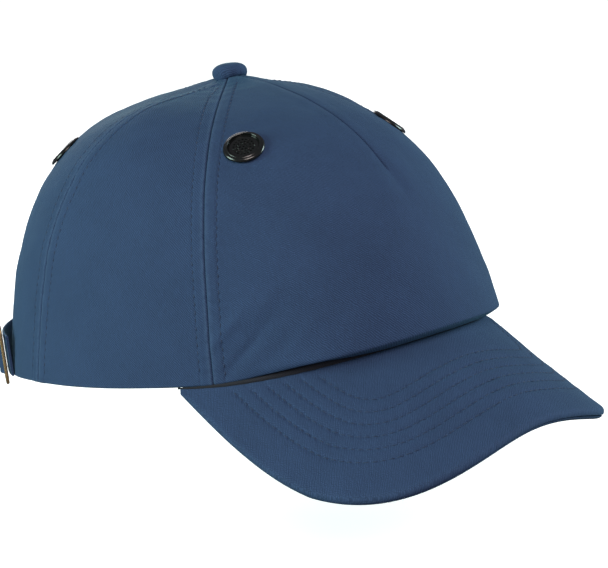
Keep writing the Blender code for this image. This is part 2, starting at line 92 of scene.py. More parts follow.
CLOTH = 0.8 * MM
ROLL, FOLD = 0.65 * MM, 0.55 * MM
TOPSTITCH, RAISE, GROOVE, PIT = 4.8 * MM, 0.2 * MM, 0.15 * MM, 0.3 * MM
PITCH, STITCH, THREAD = 2.9 * MM, 2.1 * MM, 0.17 * MM
DART_END = 0.44
HEM_SHARE = 0.55
HEM_SIDE, HEM_FRONT = 1.0 * MM, 2.8 * MM
PEAK_ROW, PEAK_ROW_STEP, PEAK_ROWS = 14 * MM, 4.9 * MM, 6
# Distances of the grid's columns from a sewn edge, close together where the cloth is shaped.
NEAR = np.array((0.05, 0.25, 0.5, 0.75, 1.05, 1.5, 2.1, 2.8, 3.5, 3.95, 4.3, 4.55, 4.8)) * MM
NEAR = np.concatenate((NEAR, np.array((5.05, 5.3, 5.65, 6.2, 7.1, 8.4)) * MM))


def smooth(x):
    x = np.clip(x, 0, 1)
    return x * x * (3 - 2 * x)


def unit(vectors):
    return vectors / np.maximum(np.linalg.norm(vectors, axis=-1, keepdims=True), 1e-12)


def running_length(points):
    """The length from the first point to each point of a row."""
    steps = np.linalg.norm(np.diff(points, axis=0), axis=1)
    return np.concatenate(([0], np.cumsum(steps)))


def ripples(points, length, seed, count=9):
    """Smooth noise in space, mostly between -1 and 1, with waves about as long as length."""
    draw = np.random.default_rng(seed)
    total = np.zeros(points.shape[:-1])
    for _ in range(count):
        way = unit(draw.normal(size=3)) * 2 * np.pi / (length * draw.uniform(0.7, 1.6))
        total += np.sin(points @ way + draw.uniform(0, 2 * np.pi))
    return total / math.sqrt(count)


def bell(away, width):
    """1 where away is 0, falling to nothing over about two widths."""
    return np.exp(-((away / width) ** 2))


def edge_drop(gap, radius):
    """How far a rounded edge falls off, as a share of its radius, at a gap in from the edge."""
    return 1 - np.sqrt(np.clip(1 - np.clip(1 - gap / radius, 0, 1) ** 2, 0, 1))


def row_at(at, lengths, row):
    """The points or normals of a row at running lengths along it."""
    return np.stack([np.interp(at, lengths, row[:, k]) for k in range(3)], -1)


def placed(points, place):
    """Points moved by a placing."""
    matrix = np.array(place)
    return points @ matrix[:3, :3].T + matrix[:3, 3]


def cloth_place(across, along, wear=0.0):
    """What the cloth attribute holds: the place on the flat cloth in millimetres, and the wear."""
    return np.stack(np.broadcast_arrays(across / MM, along / MM, wear), -1)


# ---- the crown and the peak as surfaces


def rim_xy(angle):
    t = np.radians(angle)
    return HALF_WIDTH * np.sin(t) * (1 - EGG * np.cos(t)), -HALF_LENGTH * np.cos(t)


def peak_z(x, y):
    corner_x, corner_y = rim_xy(PEAK_ANGLE)
    bend = (PEAK_RISE + PEAK_SLOPE * (corner_y + HALF_LENGTH)) / corner_x**2
    forward = np.clip(-(y + HALF_LENGTH) / PEAK_LENGTH, 0, 1.5)
    return PEAK_RISE + PEAK_SLOPE * (y + HALF_LENGTH) - bend * (1 - PEAK_FLATTEN * forward) * x**2


def rim_z(angle):
    x, y = rim_xy(angle)
    rear = -REAR_DROP * smooth((abs(angle) - DROP_FROM) / (DROP_TO - DROP_FROM))
    return np.where(abs(angle) < PEAK_ANGLE, peak_z(x, y), rear)


def crown(angle, v):
    """Points of the fabric's outer surface at angles round it and heights v from 0 to 1."""
    angle, v = np.broadcast_arrays(np.asarray(angle, float), np.asarray(v, float))
    x, y = rim_xy(angle)
    low = rim_z(angle)
    side = np.abs(np.sin(np.radians(angle))) ** SIDE_SPREAD
    ahead = np.cos(np.radians(angle)) > 0
    front, back = np.where(ahead, 1 - side, 0), np.where(ahead, 0, 1 - side)
    lean, upright, broad, fall = (
        f * front + s * side + b * back for f, s, b in zip(RISE_FRONT, RISE_SIDE, RISE_BACK)
    )
    radius = np.hypot(x, y - TOP_Y)
    a, b, c, d = (1 - v) ** 3, 3 * v * (1 - v) ** 2, 3 * v * v * (1 - v), v**3
    out = a + b * (1 + lean) + c * broad
    z = a * low + b * (low + upright * (TOP_Z - low)) + c * (TOP_Z - fall * radius * broad) + d * TOP_Z
    return np.stack((x * out, TOP_Y + (y - TOP_Y) * out, z), -1)


def crown_normal(angle, v):
    around = crown(angle + 0.5, v) - crown(angle - 0.5, v)
    rise = crown(angle, np.minimum(v + 0.004, 1)) - crown(angle, np.maximum(v - 0.004, 0))
    return unit(np.cross(around, rise))


def line_angle(line, v):
    """The angle of a line: 0 is the front centre, 1 a front seam, 2 a rear seam, 3 the back centre."""
    line, v = np.broadcast_arrays((np.asarray(line, float) + 3) % 6 - 3, v)
    size, panel = np.abs(line), np.clip(np.abs(line).astype(int), 0, 2)
    seams = (np.zeros(v.shape), FRONT_SEAM[0] + FRONT_SEAM[1] * v, REAR_SEAM[0] + REAR_SEAM[1] * v)
    stops = np.stack((*seams, np.full(v.shape, 180.0)))
    first = np.take_along_axis(stops, panel[None], 0)[0]
    last = np.take_along_axis(stops, panel[None] + 1, 0)[0]
    return np.sign(line) * (first + (last - first) * (size - panel))


# A table of each line's length, and of the height v at each fraction of it.
LINES, LEVELS = np.linspace(-3, 3, 481), np.linspace(0, 1, 201)


def measure_lines():
    line, v = np.meshgrid(LINES, LEVELS, indexing="ij")
    angle = np.where(np.abs(line) >= 3, 180.0, line_angle(line, v))
    steps = np.linalg.norm(np.diff(crown(angle, v), axis=1), axis=2)
    lengths = np.concatenate((np.zeros((len(LINES), 1)), np.cumsum(steps, axis=1)), axis=1)
    heights = [np.interp(LEVELS * row[-1], row, LEVELS) for row in lengths]
    return lengths[:, -1], np.array(heights)


TOTALS, V_TABLE = measure_lines()


def line_length(line):
    return np.interp((np.asarray(line, float) + 3) % 6 - 3, LINES, TOTALS)


def spot(line, height):
    """The angle and v of points on lines, at a length up from the rim."""
    line, height = np.broadcast_arrays(np.asarray(line, float), np.asarray(height, float))
    x = ((line + 3) % 6) / 6 * (len(LINES) - 1)
    y = np.clip(height / line_length(line), 0, 1) * (len(LEVELS) - 1)
    i, j = np.minimum(x.astype(int), len(LINES) - 2), np.minimum(y.astype(int), len(LEVELS) - 2)
    s, t = x - i, y - j
    low = V_TABLE[i, j] * (1 - s) + V_TABLE[i + 1, j] * s
    high = V_TABLE[i, j + 1] * (1 - s) + V_TABLE[i + 1, j + 1] * s
    v = low * (1 - t) + high * t
    return line_angle(line, v), v


def on_crown(line, height, depth=0.0):
    """Points on lines, a length up from the rim and a depth below the fabric's surface."""
    angle, v = spot(line, height)
    return crown(angle, v) - crown_normal(angle, v) * np.asarray(depth)[..., None]


def surface(line, height):
    """The angle, v, points and normals on lines, at a length up from the rim."""
    angle, v = spot(line, height)
    return angle, v, crown(angle, v), crown_normal(angle, v)


def crown_frame(angle, v):
    """A placing whose origin is on the crown, with z outwards and y up the crown."""
    normal = Vector(crown_normal(angle, v))
    up = Vector(crown(angle, v + 0.01) - crown(angle, v - 0.01))
    across = up.cross(normal).normalized()
    turn = Matrix((across, normal.cross(across), normal)).transposed().to_4x4()
    return Matrix.Translation(Vector(crown(angle, v))) @ turn


# ---- materials


class Nodes:
    """A material's node tree, with short ways to add to it."""

    def __init__(self, name):
        self.material = bpy.data.materials.new(name)
        self.material.use_nodes = True
        self.tree = self.material.node_tree
        self.shader = self.tree.nodes["Principled BSDF"]

    def add(self, kind, inputs=(), **settings):
        node = self.tree.nodes.new("ShaderNode" + kind)
        for name, value in settings.items():
            setattr(node, name, value)
        for name, value in dict(inputs).items():
            self.put(node.inputs[name], value)
        return node

    def put(self, socket, value):
        if isinstance(value, bpy.types.NodeSocket):
            self.tree.links.new(value, socket)
        else:
            socket.default_value = value

    def maths(self, operation, *values):
        node = self.add("Math", operation=operation)
        for socket, value in zip(node.inputs, values):
            self.put(socket, value)
        return node.outputs[0]

    def noise(self, vector, scale, detail=3.0, rough=0.55):
        inputs = {"Vector": vector, "Scale": scale, "Detail": detail, "Roughness": rough}
        return self.add("TexNoise", inputs).outputs[0]

    def spread(self, value, low, high, new_low, new_high):
        inputs = {"Value": value, "From Min": low, "From Max": high}
        inputs.update({"To Min": new_low, "To Max": new_high})
        return self.add("MapRange", inputs).outputs[0]

    def mix(self, factor, first, second, blend="MIX"):
        node = self.add("Mix", data_type="RGBA", blend_type=blend)
        self.put(node.inputs["Factor"], factor)
        self.put(node.inputs["A"], first if not isinstance(first, tuple) else (*first, 1))
        self.put(node.inputs["B"], second if not isinstance(second, tuple) else (*second, 1))
        return node.outputs["Result"]

    def bump(self, height, distance, strength=1.0, normal=None):
        node = self.add("Bump", {"Height": height, "Distance": distance, "Strength": strength})
        if normal is not None:
            self.put(node.inputs["Normal"], normal)
        return node.outputs[0]

    def set(self, **sockets):
        for name, value in sockets.items():
            self.put(self.shader.inputs[name.replace("_", " ")], value)

    def place(self):
        """Where on the piece a point is, in millimetres."""
        position = self.add("TexCoord").outputs["Object"]
        return self.stretch(position, (1000,) * 3)

    def stretch(self, vector, by):
        return self.add("VectorMath", {0: vector, 1: by}, operation="MULTIPLY").outputs[0]

    def blotches(self, vector, scale, low, high, detail=3.0):
        """Noise as a value that wanders between about low and high."""
        return self.spread(self.noise(vector, scale, detail), 0.3, 0.7, low, high)


def toned(colour, share, more=0.0):
    return tuple(min(c * share + more, 1) for c in colour)


def woven(name, warp, weft, wear, yarn=0.3, floats=0.9, sheen=0.11, rough=0.84, slant=1 / 3):
    """A twill: yarns side by side, each lying over some crossings, one step further on each yarn.

    It reads the cloth attribute, which holds the place on the flat cloth in millimetres, and the wear."""
    made = Nodes(name)
    cloth = made.add("Attribute", attribute_name="cloth").outputs["Vector"]
    across, along, worn = made.add("SeparateXYZ", {"Vector": cloth}).outputs
    drift = made.blotches(cloth, 0.35, -0.35, 0.35, 2.0)
    column = made.maths("DIVIDE", made.maths("ADD", across, drift), yarn)
    number = made.maths("FLOOR", column)
    side = made.maths("SINE", made.maths("MULTIPLY", made.maths("FRACT", column), math.pi))
    phase = made.maths("MULTIPLY_ADD", number, slant, made.maths("DIVIDE", along, floats))
    reach = made.maths("DIVIDE", made.maths("FRACT", phase), 0.72)
    over = made.maths("SINE", made.maths("MULTIPLY", made.maths("MINIMUM", reach, 1.0), math.pi))
    height = made.maths("MULTIPLY", made.maths("SQRT", side), made.maths("MAXIMUM", over, 0.25))
    slub = made.stretch(cloth, (1.1, 0.16, 1.0))
    streaks = made.noise(slub, 1.6)
    colour = made.mix(made.spread(height, 0.0, 1.0, 0.0, 1.0), weft, warp)
    patches = made.blotches(cloth, 0.045, 0.94, 1.06)
    shade = made.maths("ADD", made.spread(streaks, 0.3, 0.7, -0.09, 0.09), patches)
    grey = made.add("CombineColor", {0: shade, 1: shade, 2: shade}).outputs[0]
    colour = made.mix(1.0, colour, grey, "MULTIPLY")
    rubbed = made.spread(made.noise(cloth, 0.7, 4.0), 0.35, 0.65, 0.2, 1.0)
    colour = made.mix(made.maths("MULTIPLY", worn, rubbed), colour, wear)
    creased = made.bump(made.noise(cloth, 0.22, 4.0), 0.5 * MM, 0.35)
    fuzz = made.maths("MULTIPLY_ADD", made.noise(cloth, 6.0, 2.0), 0.35, height)
    made.set(
        Base_Color=colour,
        Roughness=made.spread(streaks, 0.3, 0.7, rough - 0.06, rough + 0.06),
        Normal=made.bump(fuzz, 0.1 * MM, 0.55, creased),
        Sheen_Weight=sheen,
        Sheen_Roughness=0.42,
        Sheen_Tint=(0.22, 0.62, 0.72, 1),
        Specular_IOR_Level=0.14,
    )
    return made.material


def thread_material(name, colour):
    """Twisted polyester thread, with a slight gloss; its colour is painted lighter on the plies' ridges and
    darker in the grooves between them, painted highlight and shade.
    """
    made = Nodes(name)
    cloth = made.add("Attribute", attribute_name="cloth").outputs["Vector"]
    along, around, _ = made.add("SeparateXYZ", {"Vector": cloth}).outputs
    turn = made.maths("ADD", made.maths("MULTIPLY", along, 6.3), around)
    ply = made.spread(made.maths("SINE", turn), -1, 1, 0, 1)
    base = made.mix(ply, toned(colour, 0.7), toned(colour, 1.2))
    made.set(
        Base_Color=made.mix(made.blotches(made.place(), 0.2, 0, 0.35), base, toned(colour, 0.6)),
        Roughness=made.spread(ply, 0, 1, 0.62, 0.5),
        Normal=made.bump(ply, 0.04 * MM, 0.6),
        Specular_IOR_Level=0.3,
    )
    return made.material


def moulded(name, colour, rough, grain=2.2, depth=0.03, scuffs=0.5):
    """Moulded plastic with a fine spark-eroded grain and faint scuffs."""
    made = Nodes(name)
    place = made.place()
    speckle, cloud = made.noise(place, grain, 4.0, 0.6), made.noise(place, 0.12, 4.0)
    drawn = made.stretch(place, (3.5, 0.5, 0.9))
    lines = made.spread(made.noise(drawn, 1.4, 5.0, 0.7), 0.6, 0.68, 0, scuffs)
    tone = made.mix(made.spread(cloud, 0.3, 0.7, 0, 1), toned(colour, 0.85), toned(colour, 1.15))
    gloss = made.spread(cloud, 0.3, 0.7, rough - 0.05, rough + 0.05)
    made.set(
        Base_Color=made.mix(made.maths("MULTIPLY", lines, 0.35), tone, toned(colour, 2.2, 0.01)),
        Roughness=made.maths("ADD", gloss, made.maths("MULTIPLY", lines, 0.2)),
        Normal=made.bump(speckle, depth * MM, 0.5),
    )
    return made.material


def cast_metal(name, bright, dull, rough):
    """Polished metal with tarnish in patches and fine scratches."""
    made = Nodes(name)
    place = made.place()
    tarnish = made.spread(made.noise(place, 0.35, 5.0, 0.62), 0.42, 0.62, 0, 1)
    scratch = made.noise(made.stretch(place, (0.6, 0.6, 6.0)), 2.5, 4.0, 0.7)
    matt = made.spread(tarnish, 0, 1, rough, rough + 0.22)
    made.set(
        Base_Color=made.mix(tarnish, bright, dull),
        Metallic=1.0,
        Roughness=made.maths("ADD", matt, made.spread(scratch, 0.4, 0.7, 0, 0.1)),
        Normal=made.bump(scratch, 0.01 * MM, 0.4),
    )
    return made.material


def foamed(name, colour):
    """Closed-cell foam: tiny pits in a soft matt skin, the pits painted darker as painted shade."""
    made = Nodes(name)
    place = made.place()
    cells = made.add("TexVoronoi", {"Vector": place, "Scale": 1.5}).outputs["Distance"]
    cloud = made.noise(place, 0.15)
    skin = made.mix(made.spread(cloud, 0.3, 0.7, 0, 1), colour, toned(colour, 1.3))
    made.set(
        Base_Color=made.mix(made.spread(cells, 0, 0.6, 0, 1), toned(colour, 0.6), skin),
        Roughness=made.spread(cloud, 0.3, 0.7, 0.86, 0.95),
        Normal=made.bump(cells, 0.15 * MM, 0.6),
        Specular_IOR_Level=0.3,
    )
    return made.material


# Each cloth's colours are those of its warp, its weft and its worn edges.
TWILL = woven("navy_twill", (0.047, 0.085, 0.182), (0.014, 0.029, 0.069), (0.07, 0.125, 0.225))
BINDING = woven(
    "seam_binding", (0.03, 0.055, 0.115), (0.018, 0.034, 0.075), (0.07, 0.11, 0.19), 0.5, 1.0, slant=0.5
)
TOWELLING = woven(
    "sweatband_cloth", (0.022, 0.036, 0.075), (0.01, 0.018, 0.04), (0.05, 0.08, 0.13),
    0.9, 1.1, 0.4, 0.93, 0.5,
)
# The near-black cloth of the cord under the front panel's roll: painted shade for the shadow there.
SHADE_CORD_CLOTH = woven(
    "shade_cord_dark", (0.034, 0.036, 0.045), (0.018, 0.019, 0.025), (0.04, 0.042, 0.05), 0.4, 0.8, 0.0, 0.95
)
THREAD_NAVY = thread_material("navy_thread", (0.024, 0.045, 0.097))
ABS = moulded("shell_abs", (0.035, 0.037, 0.041), 0.42, 1.6, 0.05, 0.4)
VENT_PLASTIC = moulded("vent_plastic", (0.004, 0.005, 0.0048), 0.2, 3.0, 0.006, 0.12)
BOARD_PLASTIC = moulded("board_plastic", (0.5, 0.5, 0.47), 0.55)
BRASS = cast_metal("brass", (0.72, 0.5, 0.24), (0.30, 0.2, 0.09), 0.2)
STEEL = cast_metal("rivet_steel", (0.56, 0.56, 0.55), (0.32, 0.31, 0.3), 0.3)
EVA = foamed("eva_foam", (0.045, 0.046, 0.05))


# ---- meshes


def make_piece(name, points, quads, triangles, material, cloth, body, crease):
    """An object from points and faces, turned to face outwards, riding on a body."""
    cuts = np.concatenate((quads[:, [0, 1, 2]], quads[:, [0, 2, 3]], triangles))
    first, second, third = (points[cuts[:, k]] for k in range(3))
    faces = quads.tolist() + triangles.tolist()
    if np.einsum("ij,ij->", first, np.cross(second, third)) < 0:
        faces = [face[::-1] for face in faces]
    mesh = bpy.data.meshes.new(name)
    mesh.from_pydata(points.tolist(), [], faces)
    if cloth is not None:
        attribute = mesh.attributes.new("cloth", "FLOAT_VECTOR", "POINT")
        attribute.data.foreach_set("vector", np.ascontiguousarray(cloth, np.float32).ravel())
    mesh.shade_smooth()
    mesh.set_sharp_from_angle(angle=math.radians(crease))
    mesh.materials.append(material)
    obj = bpy.data.objects.new(name, mesh)
    bpy.context.scene.collection.objects.link(obj)
    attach(obj, body)
    return obj


NO_TRIANGLES = np.zeros((0, 3), int)


def between(number, ring=True):
    """Four-sided faces between the rows of a grid of point numbers; ring joins its ends."""
    if ring:
        number = np.concatenate((number, number[..., :1]), axis=-1)
    low, high = number[..., :-1, :], number[..., 1:, :]
    return np.stack((low[..., :-1], low[..., 1:], high[..., 1:], high[..., :-1]), -1)


def solid(name, outer, inner, material, cloth, keep=None, ring=False, body="cap"):
    """A closed piece between two grids of points; keep says which of the grid's faces there are."""
    count = outer.shape[0] * outer.shape[1]
    quads = between(np.arange(count).reshape(outer.shape[:2]), ring)
    quads = quads[keep] if keep is not None else quads.reshape(-1, 4)
    first, second = quads.ravel(), np.roll(quads, -1, axis=1).ravel()
    rim = ~np.isin(first * count + second, second * count + first)
    first, second = first[rim], second[rim]
    walls = np.stack((second, first, first + count, second + count), -1)
    faces = np.concatenate((quads, quads[:, ::-1] + count, walls))
    used, faces = np.unique(faces, return_inverse=True)
    points = np.concatenate((outer.reshape(-1, 3), inner.reshape(-1, 3)))[used]
    cloth = np.concatenate((cloth.reshape(-1, 3),) * 2)[used]
    return make_piece(name, points, faces.reshape(-1, 4), NO_TRIANGLES, material, cloth, body, 50)


def end_caps(number):
    """Triangles that close each end of some tubes, to tip points numbered after the tubes' points."""
    many, _, around = number.shape
    tips = number.size + np.arange(2 * many).reshape(many, 2)
    following = np.roll(number, -1, axis=-1)
    first = np.stack((following[:, 0], number[:, 0], np.repeat(tips[:, :1], around, 1)), -1)
    last = np.stack((number[:, -1], following[:, -1], np.repeat(tips[:, 1:], around, 1)), -1)
    return np.concatenate((first.reshape(-1, 3), last.reshape(-1, 3)))


def swept(name, rings, material, cloth=None, closed=False, body="cap", crease=50):
    """A closed piece through rings of points; closed joins the last ring to the first."""
    number = np.arange(rings.shape[0] * rings.shape[1]).reshape(rings.shape[:2])
    points, triangles = rings.reshape(-1, 3), NO_TRIANGLES
    if closed:
        number = np.concatenate((number, number[:1]))
    else:
        points = np.concatenate((points, rings[:1].mean(1), rings[-1:].mean(1)))
        triangles = end_caps(number[None])
        if cloth is not None:
            cloth = np.concatenate((cloth.reshape(-1, 3), cloth[:1].mean(1), cloth[-1:].mean(1)))
    return make_piece(name, points, between(number).reshape(-1, 4), triangles, material, cloth, body, crease)


# ---- stitches


def stitch_ends(total, pitch=PITCH):
    """Where a row's needle holes are, for a row of that length."""
    count = max(int(total / pitch), 1)
    return np.linspace(0, count * pitch, count + 1) + (total - count * pitch) / 2


def make_stitches(name, rows, body="cap"):
    """Stitches along rows of (points, normals, running length, holes), each a short bead of thread.

    A stitch dives into the needle hole at each end."""
    section, samples = 7, 7
    t = np.linspace(-1, 1, samples)
    radius = THREAD * np.array((0.45, 0.85, 1.0, 1.05, 1.0, 0.85, 0.45))
    lift = THREAD * (0.4 - 1.7 * np.abs(t) ** 3)
    turn = 2 * np.pi * np.arange(section) / section
    spots, outward = [], []
    for points, normals, lengths, holes in rows:
        middle = (holes[:-1] + holes[1:]) / 2
        half = np.minimum(STITCH, 0.82 * (holes[1:] - holes[:-1])) / 2
        at = middle[:, None] + half[:, None] * t
        spots.append(row_at(at, lengths, points))
        outward.append(unit(row_at(at, lengths, normals)))
    spots, outward = np.concatenate(spots), np.concatenate(outward)
    along = unit(np.gradient(spots, axis=1))
    side = unit(np.cross(outward, along))
    centre = spots + outward * lift[:, None]
    ring = side[:, :, None] * np.cos(turn)[:, None] + outward[:, :, None] * np.sin(turn)[:, None]
    rings = centre[:, :, None] + ring * radius[:, None, None]
    number = np.arange(rings.size // 3).reshape(rings.shape[:3])
    tip = along[:, [0, -1]] * THREAD * 0.4 * np.array((-1, 1))[:, None]
    points = np.concatenate((rings.reshape(-1, 3), (centre[:, [0, -1]] + tip).reshape(-1, 3)))
    twist = np.stack(np.broadcast_arrays((t * STITCH / 2 / MM * 4)[None, :, None], turn, 0 * number), -1)
    twist = np.concatenate((twist.reshape(-1, 3), np.zeros((2 * len(rings), 3))))
    quads = between(number).reshape(-1, 4)
    obj = make_piece(name, points, quads, end_caps(number), THREAD_NAVY, twist, body, 80)


def hole_nearness(length, holes, width=0.4 * MM):
    """1 at a needle hole, falling to 0 away from it."""
    nearest = holes[np.clip(np.searchsorted((holes[1:] + holes[:-1]) / 2, length), 0, len(holes) - 1)]
    return bell(length - nearest, width)


# ---- the five panels


def flare(angle, height):
    """How far the stiff front panel stands out over the peak, at a length up from the rim."""
    window = smooth((FLARE_EDGE - np.abs(angle)) / FLARE_BLEND)
    foot = np.sin(np.pi / 2 * np.clip(height / FLARE_FOOT, 0, 1))
    return FLARE * window * foot * (1 - np.clip((height - FLARE_FOOT) / FLARE_FADE, 0, 1)) ** 1.5


def hem_radius(angle):
    """How far the fabric rolls under at the rim: a full roll over the peak, and a narrow hem elsewhere."""
    inside = np.clip(np.abs(angle) / (PEAK_ANGLE + 2), 0, 1)
    return HEM_SIDE + HEM_FRONT * np.cos(inside * np.pi / 2) ** 1.1


def hem_depth(angle):
    """How far in from the fabric's surface the roll's lowest line lies."""
    return HEM_SIDE + 0.68 * (hem_radius(angle) - HEM_SIDE)


def edge_relief(gap, up, holes, seed, points):
    """How far the cloth stands out near a sewn edge, at a gap from it and a length up it.

    The edge is folded in, the allowance under it raises it as far as the topstitching, and the stitches
    pull it down."""
    raised = RAISE * smooth(gap / ROLL) * (1 - smooth((gap - TOPSTITCH + 0.6 * MM) / (2.4 * MM)))
    pull = bell(gap - TOPSTITCH, 0.6 * MM)
    pit = bell(gap - TOPSTITCH, 0.42 * MM) * hole_nearness(up, holes)
    wave = np.sin(up / (6.3 * MM) * 2 * np.pi + 2.4 * ripples(points, 30 * MM, seed))
    pucker = 0.075 * MM * wave * bell(gap, 7.5 * MM) * smooth(gap / ROLL)
    return raised + pucker - FOLD * edge_drop(gap, ROLL), -GROOVE * pull - PIT * pit


def soft_relief(points, v):
    """The cloth's slack: broad waves over the whole crown, shallow near the rim and the top."""
    calm = smooth(v / 0.15) * (1 - smooth((v - 0.86) / 0.12))
    broad = 0.42 * MM * ripples(points, 62 * MM, 11) + 0.13 * MM * ripples(points, 21 * MM, 12)
    fine = 0.035 * MM * ripples(points, 7 * MM, 13)
    return (broad + fine) * (0.25 + 0.75 * calm)


# Each fold's start and rise, width, slope and depth; all but the slope are in millimetres.
FOOT_FOLDS = (
    (6.0, 21.0, 3.2, 0.75, 0.825),
    (11.5, 12.0, 2.6, 0.85, -0.75),
    (17.0, 25.0, 3.6, 0.6, 0.525),
    (24.0, 11.0, 3.4, 0.7, -0.48),
    (33.0, 16.0, 5.0, 0.5, 0.45),
)


def foot_folds(angle, height):
    """Short slanting folds where the front panel's ends meet the peak."""
    away = (54.0 - np.abs(angle)) * 1.75 * MM
    total = 0
    for start, rise, width, slope, depth in FOOT_FOLDS:
        along = away - start * MM
        off = height - rise * MM - slope * along
        total += depth * MM * bell(off, width * MM) * bell(along, 8.5 * MM)
    return total


def from_vent(points, place):
    """Points as a vent sees them: how far from its axis, their bearing, and how far off the cloth there."""
    flat = (points - np.array(place.translation)) @ np.array(place.to_3x3())
    return np.hypot(flat[..., 0], flat[..., 1]), np.arctan2(flat[..., 1], flat[..., 0]), np.abs(flat[..., 2])


def vent_relief(points):
    """Small pleats that spread from under each vent's flange."""
    total = 0
    for seed, (_, place) in enumerate(VENT_PLACES):
        away, bearing, above = from_vent(points, place)
        pleats = 0.09 * MM * np.sin(7 * bearing + 2 * seed) - 0.16 * MM
        total += bell(away - 9.6 * MM, 2.6 * MM) * (above < 8 * MM) * pleats
    return total


def beyond_arch(points):
    """Whether points lie outside the rear opening."""
    across, up = points[..., 0] / ARCH_HALF_WIDTH, (points[..., 2] - ARCH_CENTRE) / ARCH_HEIGHT
    return across**2 + up**2 > 1


def dart_relief(off, v):
    """The front panel's dart: a seam pinched between two puffs, and the dimple where it ends."""
    strength = smooth((v - DART_END) / 0.035) * (1 - smooth((v - 0.95) / 0.03))
    deep = 0.45 + 0.55 * smooth((0.9 - v) / 0.2)
    seam = 0.24 * MM * bell(off - 3.0 * MM, 2.4 * MM) - 0.95 * MM * deep * edge_drop(off, 0.7 * MM)
    dimple = 0.55 * MM * bell(off, 2.8 * MM) * np.exp(-1.4 * ((DART_END - v) / 0.07) ** 2)
    return strength * seam - dimple + 0.4 * MM * bell(off - 7 * MM, 5 * MM) * bell(v - DART_END, 0.1)


VENT_PLACES = [
    (f"{end}_{side}", crown_frame(sign * angle, v))
    for end, (angle, v) in VENTS.items()
    for side, sign in (("left", 1), ("right", -1))
]
# Each panel's first and last line, and its number of columns between the seams.
PANELS = {
    "front_panel": (-1, 1, 118),
    "side_panel_left": (1, 2, 44),
    "side_panel_right": (-2, -1, 44),
    "back_panel_left": (2, 3, 56),
    "back_panel_right": (-3, -2, 56),
}
SEAM_ROWS = {"front": [], "side": [], "back": []}
CENTRE_COLUMNS = np.array((0.03, 0.12, 0.26, 0.45, 0.7, 1.1, 1.7, 2.4, 3.2)) * MM
# The rows as shares of the way up a line, the turns of the roll below them, and the topstitching's column.
PANEL_ROWS = np.concatenate((np.linspace(0, 0.03, 8), np.linspace(0.03, 0.978, 205)[1:]))
ROLL_TURNS = np.radians(np.linspace(118, 5, 20))[:, None]
STITCH_COLUMN = 12


def panel_columns(width, middle, dart):
    """Distances across a panel, close together at its seams and at a dart."""
    near = NEAR * min(1, width / (2.7 * NEAR[-1]))
    left, right = near, width - near[::-1]
    if not dart:
        return np.concatenate((left, np.linspace(left[-1], right[0], middle + 2)[1:-1], right))
    fine = CENTRE_COLUMNS * min(1, (right[0] - left[-1]) / (3 * CENTRE_COLUMNS[-1]))
    centre = np.concatenate((-fine[::-1], fine)) + width / 2
    half = middle // 2
    first = np.linspace(left[-1], centre[0], half + 2)[1:-1]
    last = np.linspace(centre[-1], right[0], half + 2)[1:-1]
    return np.concatenate((left, first, centre, last, right))


def panel_grid(first, last, middle, dart):
    """The line, height, gap from the first seam and width of the row, at each point of a panel."""
    lines = np.linspace(first, last, 201)
    angle = line_angle(lines, 0 * lines)
    hem = hem_radius(angle) + 0.22 * flare(angle, FLARE_FOOT)
    rows = []
    for share in PANEL_ROWS:
        heights = hem + (line_length(lines) - hem) * share
        run = running_length(crown(*spot(lines, heights)))
        gaps = panel_columns(run[-1], middle, dart)
        rows.append((np.interp(gaps, run, lines), np.interp(gaps, run, heights), gaps, 0 * gaps + run[-1]))
    return np.array(rows).transpose(1, 0, 2)


def with_roll(base, normal, radius, deep):
    """A panel's points and normals, with the rows of the roll under the rim before them."""
    rise = unit(base[1] - base[0])
    turn, radius, deep = ROLL_TURNS[..., None], radius[:, None], deep[:, None]
    rows = base[0] - normal[0] * deep * (1 - np.cos(turn)) ** 0.72 - rise * radius * np.sin(turn)
    facing = unit(normal[0] * radius * np.cos(turn) - rise * deep * np.sin(turn))
    return np.concatenate((rows, base)), np.concatenate((facing, normal))


def uncut(base, is_back):
    """Which faces of a panel are outside the vents' holes, and outside the rear opening."""
    out = beyond_arch(base) if is_back else np.ones(base.shape[:2], bool)
    for _, place in VENT_PLACES:
        away, _, above = from_vent(base, place)
        out &= (away > 5.45 * MM) | (above > 9 * MM)
    return out[:-1, :-1] & out[:-1, 1:] & out[1:, 1:] & out[1:, :-1]


